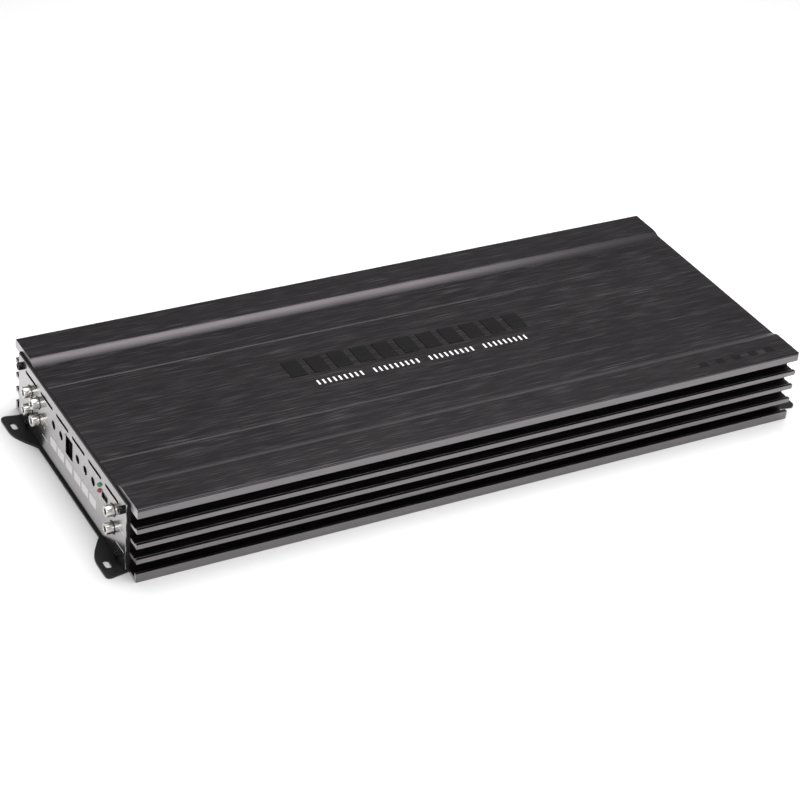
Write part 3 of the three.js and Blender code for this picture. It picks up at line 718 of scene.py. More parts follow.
def plastic(name, tint, roughness=0.42):
    """A moulded plastic with a spark-eroded texture."""
    made = Finish(name)
    grain = made.grain(3000.0)
    made.feed("Base Color", made.shades(grain, tint, 0.85, 1.2))
    made.feed("Roughness", made.mix(grain, roughness - 0.06, roughness + 0.08))
    made.bump(grain, 0.3, 0.02 * MM)
    return made.material


def black_plastic(name):
    return plastic(name, palette().plastic)


def grey_plastic(name):
    return plastic(name, (0.17, 0.19, 0.18))


def device_epoxy(name):
    return plastic(name, (0.012, 0.012, 0.013), 0.55)


def gloss_relief(name):
    """Smooth black of the raised marks, darker than the brushed face round them."""
    made = Finish(name, metallic=0.5)
    lines = made.lines()
    made.feed("Base Color", made.mix(lines, (0.0065, 0.0058, 0.0064), (0.014, 0.0125, 0.0138)))
    made.feed("Roughness", made.mix(lines, 0.29, 0.34))
    return made.material


def white_print(name):
    """Screen printing, with the slight mottle of thin ink."""
    tint = palette().printing
    made = Finish(name, roughness=0.55)
    grain = made.grain(2600.0)
    made.feed("Base Color", made.shades(grain, tint, 0.8, 1))
    return made.material


def lens(name, tint):
    """A tinted, slightly cloudy lens."""
    made = Finish(name, roughness=0.12, coat=0.5)
    grain = made.grain(900.0)
    made.feed("Base Color", made.shades(grain, tint, 0.75, 1.15))
    return made.material


def green_lens(name):
    return lens(name, palette().green)


def red_lens(name):
    return lens(name, palette().red)


def circuit_board(name):
    """Green solder mask, lighter over its tracks."""
    made = Finish(name, roughness=0.35, coat=0.3)
    tracks = made.tree.nodes.new("ShaderNodeTexBrick")
    tracks.inputs["Scale"].default_value = 60.0
    tracks.inputs["Mortar Size"].default_value = 0.03
    made.tree.links.new(made.place, tracks.inputs["Vector"])
    grain = made.grain(700.0)
    mask = made.mix(grain, (0.008, 0.075, 0.022), (0.012, 0.11, 0.034))
    made.feed("Base Color", made.mix(tracks.outputs["Fac"], mask, (0.03, 0.2, 0.07)))
    made.bump(tracks.outputs["Fac"], 0.4, 0.04 * MM)
    return made.material


def copper_winding(name):
    return metal(name, (0.52, 0.2, 0.075), 0.28, 900.0, 0.05)


def can_sleeve(name):
    """Dark blue shrink sleeve."""
    made = Finish(name, roughness=0.3, coat=0.4)
    grain = made.grain(1500.0)
    made.feed("Base Color", made.mix(grain, (0.008, 0.012, 0.03), (0.014, 0.02, 0.045)))
    made.bump(grain, 0.15, 0.02 * MM)
    return made.material


def floor_paint(name):
    made = Finish(name, roughness=0.6)
    marks = made.grain(4.0)
    made.feed("Base Color", made.mix(marks, (0.79, 0.79, 0.79), (0.82, 0.82, 0.82)))
    return made.material


FINISHES = {
    "Anodised extrusion": (anodised_extrusion, "heatsink_black"),
    "Coated sheet": (coated_sheet, "black_sheet"),
    "Gasket rubber": (gasket_rubber, "gasket_rubber"),
    "Bright sheet": (bright_sheet, "panel_silver"),
    "Black oxide steel": (black_oxide, "black_steel"),
    "Bright nickel": (bright_nickel, "nickel"),
    "Black plastic": (black_plastic, "black_plastic"),
    "Grey plastic": (grey_plastic, "grey_plastic"),
    "Green lens": (green_lens, "green_lens"),
    "Red lens": (red_lens, "red_lens"),
    "Circuit board": (circuit_board, "circuit_board"),
    "Copper winding": (copper_winding, "copper_winding"),
    "Can sleeve": (can_sleeve, "capacitor_sleeve"),
    "Device epoxy": (device_epoxy, "device_black"),
    "Gloss relief": (gloss_relief, "heatsink_black"),
    "White print": (white_print, "panel_silver"),
}


# ---------------------------------------------------------------- case


class AMP_OT_heatsink(bpy.types.Operator):
    """Finish the extrusion, with a fine line along each rail and rounded edges"""

    bl_idname = "amp.heatsink"
    bl_label = "Heatsink"

    def execute(self, context):
        case = context.scene.amp_case
        low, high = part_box("heatsink")
        obj = refined("heatsink", "finned_extrusion")
        z = high.z - case.line_drop
        lines = []
        for face in (low.y, high.y):
            depth = case.line_depth
            lines.append(box(
                (low.x - OVERSHOOT, face - depth, z - case.line_width / 2),
                (high.x + OVERSHOOT, face + depth, z + case.line_width / 2),
            ))
        for fin in range(case.fin_count):
            for face, inward in ((low.y, 1), (high.y, -1)):
                y = face + inward * case.die_line_inset
                lines.append(self.vee(low, high, y, FIN_TOP - fin * case.fin_pitch, case))
        combine(obj, lines)
        combine(obj, rail_bars(high.z, 0.1 * MM, 0.1 * MM))
        soften(obj, case.edge)
        dress(obj, "case", "Anodised extrusion", "heatsink")
        return {"FINISHED"}

    def vee(self, low, high, y, z, case):
        """A long cutter with a V-shaped underside, sunk into a fin's top."""
        half, depth = case.die_line_width / 2, case.die_line_depth
        cutter = box(
            (low.x - OVERSHOOT, y - 2 * half, z - depth),
            (high.x + OVERSHOOT, y + 2 * half, z + depth),
        )
        bpy.ops.object.mode_set(mode="EDIT")
        select_faces(cutter, lambda middle, normal: normal.z < -0.5)
        bpy.ops.transform.resize(value=(1, 0.02, 1), center_override=(0, y, z))
        bpy.ops.object.mode_set(mode="OBJECT")
        return cutter


def slanted_bar(x, y, z, width, reach, slant, height, name):
    """A low bar whose far end leans along X."""
    half = width / 2
    obj = box((x - half, y - reach / 2, z), (x + half, y + reach / 2, z + height), name)
    bpy.ops.object.mode_set(mode="EDIT")
    select_faces(obj, lambda middle, normal: normal.y > 0.5)
    bpy.ops.transform.translate(value=(slant, 0, 0))
    bpy.ops.object.mode_set(mode="OBJECT")
    return obj


def rail_bars(top, spare, above):
    """Five plain slanted bars along the front rail: its marks, or the pockets that hold them."""
    start, pitch, y = 190 * MM, 15 * MM, -100.5 * MM
    width, reach, slant = 8 * MM + spare, 6 * MM + spare, 1.5 * MM
    return [
        slanted_bar(
            start + pitch * i, y, top - RAIL_BAR_DEPTH, width, reach, slant,
            RAIL_BAR_DEPTH + above, "rail bar",
        )
        for i in range(5)
    ]


class AMP_OT_top_marks(bpy.types.Operator):
    """Make the plain relief bars and the printed hatch marks on the top"""

    bl_idname = "amp.top_marks"
    bl_label = "Top marks"

    def execute(self, context):
        case = context.scene.amp_case
        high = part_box("heatsink")[1]
        plate = high.z - PLATE_DROP
        sink = 0.1 * MM
        bars = []
        for i in range(case.bar_count):
            x = (i - (case.bar_count - 1) / 2) * case.bar_pitch - case.bar_slant / 2
            bars.append(slanted_bar(
                x, 9 * MM, plate - sink, case.bar_width, case.bar_length,
                case.bar_slant, case.bar_height + sink, "bar",
            ))
        relief = joined(bars, "top_relief")
        soften(relief, 0.15 * MM)
        dress(relief, "case", "Gloss relief")
        hatch = []
        group_pitch = (case.hatch_count + 1.5) * case.hatch_pitch
        for group in range(case.hatch_groups):
            start = (group - (case.hatch_groups - 1) / 2) * group_pitch
            for i in range(case.hatch_count):
                x = start + (i - (case.hatch_count - 1) / 2) * case.hatch_pitch
                hatch.append(slanted_bar(
                    x, -13.5 * MM, plate - sink, case.hatch_width, case.hatch_length,
                    1.2 * MM, sink + INK, "hatch mark",
                ))
        printing = joined(hatch, "top_hatch")
        soften(printing, 0.01 * MM, 1)
        dress(printing, "case", "White print")
        rail_marks = joined(rail_bars(high.z, 0, -0.1 * MM), "rail_relief")
        soften(rail_marks, 0.01 * MM, 1)
        dress(rail_marks, "case", "Gloss relief")
        return {"FINISHED"}


class AMP_OT_base_plate(bpy.types.Operator):
    """Finish the base plate, with round-ended slots in its ears"""

    bl_idname = "amp.base_plate"
    bl_label = "Base plate"

    def execute(self, context):
        case = context.scene.amp_case
        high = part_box("base_plate")[1]
        obj = refined("base_plate", "coated_base")
        tools = []
        for sx in (-1, 1):
            for sy in (-1, 1):
                x = sx * (high.x - case.ear_slot_inset)
                y = sy * case.ear_slot_y
                r, half = case.ear_slot_radius, case.ear_slot_straight
                tools.append(box((x - r, y - half, -OVERSHOOT), (x + r, y + half, 3 * MM)))
                for end in (-half, half):
                    tools.append(rod(r, (x, y + end, -OVERSHOOT), (x, y + end, 3 * MM)))
        combine(obj, tools)
        soften(obj, case.sheet_edge)
        dress(obj, "case", "Coated sheet", "base_plate")
        return {"FINISHED"}


class AMP_OT_gaskets(bpy.types.Operator):
    """Finish the two black gaskets"""

    bl_idname = "amp.gaskets"
    bl_label = "Gaskets"

    def execute(self, context):
        for end, _ in ENDS:
            obj = refined(f"{end}_gasket", f"{end}_seal")
            soften(obj, 0.18 * MM)
            dress(obj, "case", "Gasket rubber", f"{end}_gasket")
        return {"FINISHED"}


# ---------------------------------------------------------------- end panels


def cut_across(low, high, radius, y, z, sides=ROUND_SIDES):
    """A round cutter along X, right through a panel."""
    return rod(radius, (low.x - OVERSHOOT, y, z), (high.x + OVERSHOOT, y, z), sides)


def cut_block(low, high, y0, y1, z0, z1):
    return box((low.x - OVERSHOOT, y0, z0), (high.x + OVERSHOOT, y1, z1))


def vent_cutters(low, high, fittings):
    """Round-ended slots in a row."""
    tools = []
    radius = fittings.vent_radius
    straight = fittings.vent_length / 2 - radius
    z = fittings.vent_z
    for i in range(fittings.vent_count):
        y = (i - (fittings.vent_count - 1) / 2) * fittings.vent_pitch
        tools.append(cut_block(low, high, y - straight, y + straight, z - radius, z + radius))
        for end in (-straight, straight):
            tools.append(cut_across(low, high, radius, y + end, z, SMALL_SIDES))
    return tools


def opening_of(node, shrink):
    """The Y and Z range that a housing leaves open in its panel."""
    low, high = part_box(node)
    return low.y + shrink, high.y - shrink, low.z + shrink, high.z - shrink


class AMP_OT_end_panels(bpy.types.Operator):
    """Make the two bright end panels with their openings"""

    bl_idname = "amp.end_panels"
    bl_label = "End panels"

    def execute(self, context):
        fittings = context.scene.amp_fittings
        edge = context.scene.amp_case.sheet_edge
        for end, _ in ENDS:
            low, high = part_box(f"{end}_panel")
            obj = box(low, high, f"{end}_face")
            tools = vent_cutters(low, high, fittings)
            for row in ROWS:
                spot = centre(f"{end}_cap_screw_{row}")
                tools.append(cut_across(low, high, fittings.cap_hole, spot.y, spot.z, SMALL_SIDES))
            cuts = self.input_cuts if end == "input" else self.power_cuts
            tools += cuts(low, high, fittings)
            for tool in tools:
                combine(obj, [tool])
            soften(tidy_faces(obj), edge)
            dress(obj, "case", "Bright sheet", f"{end}_panel")
        return {"FINISHED"}

    def input_cuts(self, low, high, fittings):
        tools = []
        for row in ROWS:
            spot = centre(f"input_low_screw_{row}")
            tools.append(cut_across(low, high, fittings.low_hole, spot.y, spot.z, SMALL_SIDES))
        for i in JACKS:
            spot = centre(f"jack_shell_{i}")
            tools.append(cut_across(low, high, fittings.collar_hole, spot.y, spot.z))
        for i in POTS:
            spot = centre(f"pot_shaft_{i}")
            tools.append(cut_across(low, high, fittings.pot_hole, spot.y, spot.z))
        for lamp in ("power_lamp", "protect_lamp"):
            spot = centre(lamp)
            tools.append(cut_across(low, high, fittings.lamp_hole, spot.y, spot.z, SMALL_SIDES))
        tools.append(cut_block(low, high, *opening_of("mode_switch_body", 1.1 * MM)))
        tools.append(cut_block(low, high, *opening_of("mini_switch_body", 0.7 * MM)))
        return tools

    def power_cuts(self, low, high, fittings):
        nodes = ("power_terminal_block", "speaker_terminal_block")
        return [cut_block(low, high, *opening_of(node, -fittings.cutout_gap)) for node in nodes]


class AMP_OT_printing(bpy.types.Operator):
    """Print plain blocks, ticks and rules on the end panels"""

    bl_idname = "amp.printing"
    bl_label = "Panel printing"

    def execute(self, context):
        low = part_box("input_panel")[0]
        skin = (low.x - INK, low.x + INK)
        marks = []
        spots = [centre(f"pot_shaft_{i}").y for i in POTS] + [centre("mode_switch_body").y]
        block, block_z = 6 * MM, (16.7 * MM, 23.9 * MM)
        half, tick_pitch, tick_z = 0.4 * MM, 2 * MM, (27.4 * MM, 28.2 * MM)
        for y in spots:
            marks.append(self.patch(skin, y - block, y + block, *block_z))
            for step in range(-2, 3):
                tick = y + step * tick_pitch
                marks.append(self.patch(skin, tick - half, tick + half, *tick_z))
        for z in (15 * MM, 29.5 * MM):
            marks.append(self.patch(skin, 42 * MM, 53 * MM, z - 0.3 * MM, z + 0.3 * MM))
            marks.append(self.patch(skin, -97 * MM, -84 * MM, z - 0.3 * MM, z + 0.3 * MM))
        for y, z in ((-47.6, 45.4), (-55.1, 31.6), (49, 22.9)):
            marks.append(self.patch(
                skin, (y - 1) * MM, (y + 1) * MM, (z - 0.5) * MM, (z + 0.5) * MM
            ))
        self.finish(marks, "input_printing")
        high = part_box("power_panel")[1]
        skin = (high.x - INK, high.x + INK)
        marks = []
        for family, ways in (("power", POWER_WAYS), ("speaker", SPEAKER_WAYS)):
            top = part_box(f"{family}_terminal_block")[1].z
            for i in ways:
                y = centre(f"{family}_clamp_screw_{i}").y
                half = 3.2 * MM
                marks.append(self.patch(skin, y - half, y + half, top + 1.6 * MM, top + 3.4 * MM))
        self.finish(marks, "power_printing")
        return {"FINISHED"}

    def patch(self, skin, y0, y1, z0, z1):
        return box((skin[0], y0, z0), (skin[1], y1, z1))

    def finish(self, marks, name):
        obj = joined(marks, name)
        soften(obj, 0.01 * MM, 1)
        dress(obj, "case", "White print")


# ---------------------------------------------------------------- input end fittings


class AMP_OT_jacks(bpy.types.Operator):
    """Make the plated jack barrels, their inner contacts and their collared housings"""

    bl_idname = "amp.jacks"
    bl_label = "Signal jacks"

    def execute(self, context):
        fittings = context.scene.amp_fittings
        low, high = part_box("jack_shell_1")
        base = Vector((low.x, (low.y + high.y) / 2, (low.z + high.z) / 2))
        reach = high.x - low.x
        barrel = self.barrel(base, reach, fittings)
        core = self.core(base, fittings)
        for i in JACKS:
            offset = centre(f"jack_shell_{i}") - centre("jack_shell_1")
            shell = twin(barrel, f"jack_barrel_{i}", offset)
            smooth(shell)
            dress(shell, "case", "Bright nickel", f"jack_shell_{i}")
            contact = twin(core, f"jack_contact_{i}", offset)
            smooth(contact)
            dress(contact, "case", "Black plastic")
        bpy.data.objects.remove(barrel)
        bpy.data.objects.remove(core)
        for row in ROWS:
            self.housing(row, fittings)
        return {"FINISHED"}

    def barrel(self, base, reach, fittings):
        """A barrel with a rolled rim, a faint turned line near its root, and a blind bore."""
        r, bore, round_ = fittings.barrel, fittings.bore, 0.35 * MM
        neck = 4.9 * MM
        profile = [
            (9.1 * MM, 0), (9.1 * MM, bore), (round_, bore), (0.1 * MM, bore + 0.15 * MM),
            (0, bore + round_), (0, r - round_), (0.1 * MM, r - 0.12 * MM), (round_, r),
            (neck, r), (neck + 0.08 * MM, r - 0.08 * MM), (neck + 0.16 * MM, r),
            (reach, r), (reach, 0),
        ]
        return turned(profile, base, ALONG_X, "barrel")

    def core(self, base, fittings):
        """The insulator that lines the bore, with the pin's mouth in it."""
        outer, inner = fittings.bore - 0.05 * MM, 1.55 * MM
        profile = [
            (0.4 * MM, inner + 0.3 * MM), (0.4 * MM, outer), (8.9 * MM, outer), (8.9 * MM, 0),
            (8.5 * MM, 0), (8.5 * MM, inner), (0.7 * MM, inner), (0.4 * MM, inner + 0.3 * MM),
        ]
        return turned(profile, base, ALONG_X, "core", SMALL_SIDES)

    def housing(self, row, fittings):
        node = f"jack_block_{row}"
        low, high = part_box(node)
        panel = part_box("input_panel")[0].x
        front = high.x - 15.5 * MM
        obj = box((front, low.y, low.z), high, f"jack_housing_{row}")
        shells = [i for i in JACKS if low.y < centre(f"jack_shell_{i}").y < high.y]
        spots = [centre(f"jack_shell_{i}") for i in shells]
        for spot in spots:
            start = (panel - fittings.collar_proud, spot.y, spot.z)
            end = (front + OVERSHOOT, spot.y, spot.z)
            combine(obj, [rod(fittings.collar, start, end)], "UNION")
        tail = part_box("jack_shell_1")[1].x + 0.2 * MM
        for spot in spots:
            start = (panel - 2 * MM, spot.y, spot.z)
            combine(obj, [rod(fittings.barrel + 0.2 * MM, start, (tail, spot.y, spot.z))])
        soften(tidy_faces(obj), 0.15 * MM)
        dress(obj, "case", "Black plastic", node)


class AMP_OT_trimmers(bpy.types.Operator):
    """Make the trimmers: a housing and a slotted shaft for each"""

    bl_idname = "amp.trimmers"
    bl_label = "Trimmers"

    def execute(self, context):
        radius = context.scene.amp_fittings.pot_shaft
        for i in POTS:
            low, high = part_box(f"pot_body_{i}")
            spot = centre(f"pot_shaft_{i}")
            tip, tail = (corner.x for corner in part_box(f"pot_shaft_{i}"))
            body = box(low, high, f"trimmer_housing_{i}")
            gap = 0.2 * MM
            mouth = (low.x - OVERSHOOT, spot.y, spot.z)
            combine(body, [rod(radius + gap, mouth, (tail + gap, spot.y, spot.z))])
            soften(body, 0.3 * MM)
            dress(body, "case", "Black plastic", f"pot_body_{i}")
            ends = (tip, spot.y, spot.z), (tail, spot.y, spot.z)
            shaft = rod(radius, *ends, name=f"trimmer_shaft_{i}")
            slot = box(
                (tip - OVERSHOOT, spot.y - radius - OVERSHOOT, spot.z - 0.4 * MM),
                (tip + 1.2 * MM, spot.y + radius + OVERSHOOT, spot.z + 0.4 * MM),
            )
            combine(shaft, [slot])
            soften(shaft, 0.12 * MM)
            dress(shaft, f"pot_{i}", "Black plastic", f"pot_shaft_{i}")
        return {"FINISHED"}


class AMP_OT_switches(bpy.types.Operator):
    """Make the two slide switches, with ribs on their knobs"""

    bl_idname = "amp.switches"
    bl_label = "Switches"

    def execute(self, context):
        for family, body, finish, upright in (
            ("mode", "mode_slider", "Black plastic", True),
            ("mini", "mini_slider", "Grey plastic", False),
        ):
            housing = refined(f"{family}_switch_body", f"{family}_housing")
            soften(housing, 0.15 * MM)
            dress(housing, "case", "Black plastic", f"{family}_switch_body")
            knob = refined(f"{family}_switch_slider", f"{family}_knob")
            low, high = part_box(f"{family}_switch_slider")
            middle = (low + high) / 2
            grooves = []
            for step in (-1, 0, 1):
                shift = step * 1.3 * MM
                near = (low.x - OVERSHOOT, low.y - OVERSHOOT, middle.z + shift - 0.25 * MM)
                far = (low.x + 0.5 * MM, high.y + OVERSHOOT, middle.z + shift + 0.25 * MM)
                if not upright:
                    near = (low.x - OVERSHOOT, middle.y + shift - 0.25 * MM, low.z - OVERSHOOT)
                    far = (low.x + 0.5 * MM, middle.y + shift + 0.25 * MM, high.z + OVERSHOOT)
                grooves.append(box(near, far))
            combine(knob, grooves)
            soften(knob, 0.1 * MM)
            dress(knob, body, finish, f"{family}_switch_slider")
        return {"FINISHED"}


class AMP_OT_lamps(bpy.types.Operator):
    """Make the two domed lamps"""

    bl_idname = "amp.lamps"
    bl_label = "Lamps"

    def execute(self, context):
        for node, finish in (("power_lamp", "Green lens"), ("protect_lamp", "Red lens")):
            low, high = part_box(node)
            spot = centre(node)
            radius = (high.z - low.z) / 2
            steps = 10
            dome = []
            for step in range(steps + 1):
                angle = math.pi / 2 * step / steps
                dome.append((radius - radius * math.cos(angle), radius * math.sin(angle)))
            profile = dome + [(high.x - low.x, radius), (high.x - low.x, 0)]
            base = Vector((low.x, spot.y, spot.z))
            obj = turned(profile, base, ALONG_X, f"{node}_lens", SMALL_SIDES)
            smooth(obj)
            dress(obj, "case", finish, node)
        return {"FINISHED"}


# ---------------------------------------------------------------- screws


def hexagon_recess(obj, top, direction, radius, depth):
    """Cuts a hexagon socket into a screw's head. The direction points into the head."""
    start = top - direction * OVERSHOOT
    return combine(obj, [rod(radius, start, top + direction * depth, 6)])


class AMP_OT_screws(bpy.types.Operator):
    """Make the cap screws, the low screws and the base screws"""

    bl_idname = "amp.screws"
    bl_label = "Panel and base screws"

    def execute(self, context):
        for end, side in ENDS:
            for row in ROWS:
                self.cap_screw(f"{end}_cap_screw_{row}", side)
        for row in ROWS:
            self.low_screw(f"input_low_screw_{row}")
        for i in BASE_SCREWS:
            self.base_screw(i)
        return {"FINISHED"}

    def cap_screw(self, node, side):
        low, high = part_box(node)
        spot = centre(node)
        inward = -side * ALONG_X
        top = Vector((high.x if side > 0 else low.x, spot.y, spot.z))
        head, shank, rim, point = 2.9 * MM, 1.45 * MM, 0.35 * MM, 0.4 * MM
        depth, reach = 3 * MM, 12 * MM
        profile = [(0, 0), (0, head - rim), (rim, head), (depth, head), (depth, shank)]
        profile += [(reach - point, shank), (reach, shank - point), (reach, 0)]
        obj = turned(profile, top, inward, f"{node}_finished")
        hexagon_recess(obj, top, inward, 1.5 * MM, 1.6 * MM)
        soften(tidy_faces(obj), 0.08 * MM)
        dress(obj, "case", "Black oxide steel", node)

    def low_screw(self, node):
        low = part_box(node)[0]
        spot = centre(node)
        top = Vector((low.x, spot.y, spot.z))
        head, shank, depth, reach = 2.1 * MM, 1.2 * MM, 1.4 * MM, 6 * MM
        profile = [(0, 0), (0.1 * MM, 0.9 * MM), (0.4 * MM, 1.6 * MM), (0.9 * MM, head)]
        profile += [(depth, head), (depth, shank), (reach, shank), (reach, 0)]
        obj = turned(profile, top, ALONG_X, f"{node}_finished", SMALL_SIDES)
        slot = box(
            (top.x - OVERSHOOT, top.y - head - OVERSHOOT, top.z - 0.3 * MM),
            (top.x + 0.5 * MM, top.y + head + OVERSHOOT, top.z + 0.3 * MM),
        )
        combine(obj, [slot])
        soften(tidy_faces(obj), 0.05 * MM)
        dress(obj, "case", "Black oxide steel", node)

    def base_screw(self, index):
        node = f"base_screw_{index}"
        spot = centre(node)
        low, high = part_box(node)
        top = Vector((spot.x, spot.y, low.z))
        reach = high.z - low.z
        profile = [(0, 0), (0, 2.6 * MM), (0.15 * MM, 2.7 * MM), (1.35 * MM, 1.4 * MM)]
        profile += [(reach, 1.4 * MM), (reach, 0)]
        obj = turned(profile, top, ALONG_Z, f"{node}_finished", SMALL_SIDES)
        arm, half = 1.5 * MM, 0.3 * MM
        for a, b in ((arm, half), (half, arm)):
            combine(obj, [box(
                (top.x - a, top.y - b, top.z - OVERSHOOT), (top.x + a, top.y + b, top.z + 0.9 * MM)
            )])
        soften(tidy_faces(obj), 0.05 * MM)
        dress(obj, "case", "Black oxide steel", node)


# ---------------------------------------------------------------- power end


class AMP_OT_terminals(bpy.types.Operator):
    """Make the terminal blocks, their wire collars and their clamp screws"""

    bl_idname = "amp.terminals"
    bl_label = "Terminals"

    def execute(self, context):
        fittings = context.scene.amp_fittings
        power = [fittings.power_wire, fittings.power_wire, fittings.remote_wire]
        speaker = [fittings.speaker_wire] * len(SPEAKER_WAYS)
        self.row("power", POWER_WAYS, power, POWER_WIRE_Z, fittings)
        self.row("speaker", SPEAKER_WAYS, speaker, SPEAKER_WIRE_Z, fittings)
        return {"FINISHED"}

    def row(self, family, ways, radii, wire_z, fittings):
        node = f"{family}_terminal_block"
        low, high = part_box(node)
        obj = box(low, high, f"{family}_terminals")
        collars = []
        for i, radius in zip(ways, radii):
            screw = f"{family}_clamp_screw_{i}"
            spot = centre(screw)
            screw_low, screw_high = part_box(screw)
            screw_radius = (screw_high.x - screw_low.x) / 2
            entry = Vector((high.x, spot.y, wire_z))
            inner = entry - ALONG_X * fittings.wire_depth
            combine(obj, [rod(radius, inner, entry + ALONG_X * OVERSHOOT)])
            foot = (spot.x, spot.y, wire_z)
            combine(obj, [rod(screw_radius + 0.2 * MM, foot, (spot.x, spot.y, high.z + OVERSHOOT))])
            collars.append(self.collar(entry, radius))
            self.clamp_screw(family, i, screw_radius)
        for i, j in zip(ways, ways[1:]):
            y = (centre(f"{family}_clamp_screw_{i}").y + centre(f"{family}_clamp_screw_{j}").y) / 2
            groove = 0.35 * MM
            combine(obj, [box(
                (high.x - 0.6 * MM, y - groove, low.z - OVERSHOOT),
                (high.x + OVERSHOOT, y + groove, high.z + OVERSHOOT),
            )])
        soften(tidy_faces(obj), 0.3 * MM)
        dress(obj, "case", "Black plastic", node)
        rings = smooth(joined(collars, f"{family}_wire_collars"))
        dress(rings, "case", "Bright nickel")

    def collar(self, entry, radius):
        """A thin plated ring just inside a wire's entry."""
        outer, inner = radius - 0.05 * MM, radius - 0.45 * MM
        near, far = 0.5 * MM, 1.6 * MM
        profile = [(near, inner), (near, outer), (far, outer), (far, inner), (near, inner)]
        return turned(profile, entry, -ALONG_X, "collar")

    def clamp_screw(self, family, index, radius):
        node = f"{family}_clamp_screw_{index}"
        low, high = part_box(node)
        spot = centre(node)
        top = Vector((spot.x, spot.y, high.z))
        reach = high.z - low.z
        rim = 0.25 * MM
        profile = [(0, 0), (0, radius - rim), (rim, radius), (reach - 0.5 * MM, radius)]
        profile += [(reach, radius - 0.5 * MM), (reach, 0)]
        obj = turned(profile, top, -ALONG_Z, f"{node}_finished", SMALL_SIDES)
        hexagon_recess(obj, top, -ALONG_Z, radius * 0.55, 1.8 * MM)
        soften(tidy_faces(obj), 0.06 * MM)
        dress(obj, f"{family}_clamp_{index}", "Black oxide steel", node)


# ---------------------------------------------------------------- inside


class AMP_OT_boards(bpy.types.Operator):
    """Finish the two circuit boards and the rows of output devices"""

    bl_idname = "amp.boards"
    bl_label = "Boards and devices"

    def execute(self, context):
        for node in ("main_board", "control_board"):
            obj = refined(node, f"{node}_finished")
            soften(obj, 0.2 * MM)
            dress(obj, "case", "Circuit board", node)
        for row in ROWS:
            node = f"{row}_output_devices"
            obj = refined(node, f"{row}_devices")
            soften(obj, 0.3 * MM)
            dress(obj, "case", "Device epoxy", node)
        return {"FINISHED"}


class AMP_OT_transformer(bpy.types.Operator):
    """Wind the toroidal transformer"""

    bl_idname = "amp.transformer"
    bl_label = "Transformer"

    def execute(self, context):
        low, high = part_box("toroid_transformer")
        spot = centre("toroid_transformer")
        outer, inner = (high.x - low.x) / 2, 12 * MM
        height = high.z - low.z
        sides, corner, points = 144, 5 * MM, []
        corners = [(corner, inner + corner), (corner, outer - corner)]
        corners += [(height - corner, outer - corner), (height - corner, inner + corner)]
        for quarter, (along, radius) in enumerate(corners):
            for step in range(5):
                angle = math.pi / 2 * (3 - quarter - step / 4)
                points.append((along + corner * math.cos(angle), radius + corner * math.sin(angle)))
        points.append(points[0])
        obj = turned(points, Vector((spot.x, spot.y, low.z)), ALONG_Z, "toroid_winding", sides)
        smooth(obj)
        dress(obj, "case", "Copper winding", "toroid_transformer")
        return {"FINISHED"}


class AMP_OT_capacitors(bpy.types.Operator):
    """Make the bank of reservoir capacitors"""

    bl_idname = "amp.capacitors"
    bl_label = "Capacitors"

    def execute(self, context):
        low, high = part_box("capacitor_bank")
        spot = centre("capacitor_bank")
        radius, pitch, row = 11 * MM, 24 * MM, 12.5 * MM
        height = high.z - low.z
        crimp = 1.2 * MM
        profile = [(0, 0), (0, radius - 0.6 * MM), (0.6 * MM, radius), (3 * MM, radius)]
        profile += [(3.6 * MM, radius - 0.5 * MM), (4.2 * MM, radius), (height - crimp, radius)]
        profile += [(height - 0.3 * MM, radius - 0.5 * MM), (height, radius - 1.4 * MM)]
        profile += [(height - 0.6 * MM, radius - 2 * MM), (height - 0.6 * MM, 0)]
        cans = []
        for side in (-1, 1):
            for column in (-1, 0, 1):
                base = Vector((spot.x + column * pitch, spot.y + side * row, low.z))
                cans.append(turned(profile, base, ALONG_Z, "can"))
        obj = smooth(joined(cans, "capacitor_cans"))
        dress(obj, "case", "Can sleeve", "capacitor_bank")
        return {"FINISHED"}


# ---------------------------------------------------------------- stage


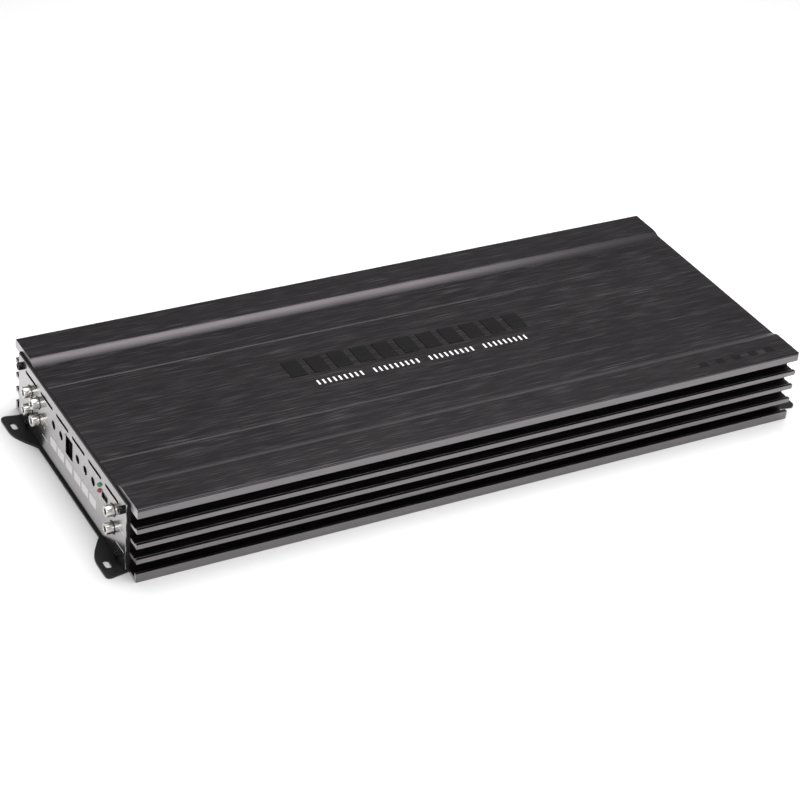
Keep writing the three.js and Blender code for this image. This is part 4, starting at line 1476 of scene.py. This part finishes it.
class AMP_OT_stage(bpy.types.Operator):
    """Set the floor, the lights and the camera"""

    bl_idname = "amp.stage"
    bl_label = "Stage"

    def execute(self, context):
        stage = context.scene.amp_stage
        self.floor(stage)
        self.lights(context, stage)
        self.camera(context, stage)
        context.scene.view_settings.view_transform = "Standard"
        return {"FINISHED"}

    def floor(self, stage):
        bpy.ops.object.select_all(action="DESELECT")
        bpy.ops.mesh.primitive_plane_add(size=stage.floor_size, location=(0, 0, -0.05 * MM))
        obj = named("studio_floor")
        obj.data.materials.append(floor_paint("Floor paint"))

    def lights(self, context, stage):
        world = bpy.data.worlds.new("Studio walls")
        world.use_nodes = True
        tree = world.node_tree
        direction = tree.nodes.new("ShaderNodeTexCoord").outputs["Generated"]
        height = tree.nodes.new("ShaderNodeSeparateXYZ")
        tree.links.new(direction, height.inputs[0])
        dark = ramp_between(tree, height.outputs["Z"], 0.02, 0.42)
        span = math_node(tree, "MULTIPLY", dark, stage.zenith - stage.horizon)
        strength = math_node(tree, "ADD", span, stage.horizon)
        tree.links.new(strength, tree.nodes["Background"].inputs["Strength"])
        tree.nodes["Background"].inputs["Color"].default_value = (1, 1, 1, 1)
        context.scene.world = world
        self.softbox(
            "overhead", place=(0.2, 0.05, 1.25), size=(1.25, 1.3),
            power=stage.softbox_power, target=(0.2, 0.05, 0),
        )
        self.softbox(
            "front_fill", place=(-1.1, -1.3, 0.9), size=(1.2, 0.8),
            power=stage.fill_power, target=(0, 0, 0),
        )

    def softbox(self, name, place, size, power, target):
        data = bpy.data.lights.new(name, "AREA")
        data.shape = "RECTANGLE"
        data.size, data.size_y = size
        data.energy = power
        lamp = bpy.data.objects.new(name, data)
        lamp.location = place
        aim = Vector(target) - Vector(place)
        lamp.rotation_euler = aim.to_track_quat("-Z", "Y").to_euler()
        bpy.context.scene.collection.objects.link(lamp)

    def camera(self, context, stage):
        azimuth, elevation = math.radians(stage.azimuth), math.radians(stage.elevation)
        forward = Vector((
            math.sin(azimuth) * math.cos(elevation),
            math.cos(azimuth) * math.cos(elevation),
            -math.sin(elevation),
        ))
        data = bpy.data.cameras.new("camera")
        data.lens = stage.lens
        camera = bpy.data.objects.new("camera", data)
        camera.rotation_mode = "QUATERNION"
        roll = Quaternion((0, 0, 1), math.radians(stage.roll))
        camera.rotation_quaternion = forward.to_track_quat("-Z", "Y") @ roll
        camera.location = CAMERA_PLACE
        context.scene.collection.objects.link(camera)
        context.scene.camera = camera


# ---------------------------------------------------------------- add-on


OPERATORS = (
    AMP_OT_heatsink,
    AMP_OT_top_marks,
    AMP_OT_base_plate,
    AMP_OT_gaskets,
    AMP_OT_end_panels,
    AMP_OT_printing,
    AMP_OT_jacks,
    AMP_OT_trimmers,
    AMP_OT_switches,
    AMP_OT_lamps,
    AMP_OT_screws,
    AMP_OT_terminals,
    AMP_OT_boards,
    AMP_OT_transformer,
    AMP_OT_capacitors,
    AMP_OT_stage,
)


class AMP_PT_pieces(bpy.types.Panel):
    """Lists the amplifier's settings and the operators that make its pieces"""

    bl_idname = "AMP_PT_pieces"
    bl_label = "Car amplifier"
    bl_space_type = "VIEW_3D"
    bl_region_type = "UI"
    bl_category = "Amplifier"

    def draw(self, context):
        for key, group in SETTINGS.items():
            column = self.layout.column(heading=group.__name__)
            for prop in group.__annotations__:
                column.prop(getattr(context.scene, key), prop)
        for operator in OPERATORS:
            self.layout.operator(operator.bl_idname)


CLASSES = (*SETTINGS.values(), *OPERATORS, AMP_PT_pieces)


def register():
    for cls in CLASSES:
        bpy.utils.register_class(cls)
    for key, group in SETTINGS.items():
        setattr(bpy.types.Scene, key, PointerProperty(type=group))


def unregister():
    for key in SETTINGS:
        delattr(bpy.types.Scene, key)
    for cls in reversed(CLASSES):
        bpy.utils.unregister_class(cls)


def main():
    """Makes every piece in order."""
    register()
    for operator in OPERATORS:
        family, name = operator.bl_idname.split(".")
        getattr(getattr(bpy.ops, family), name)()


if __name__ == "__main__":
    main()
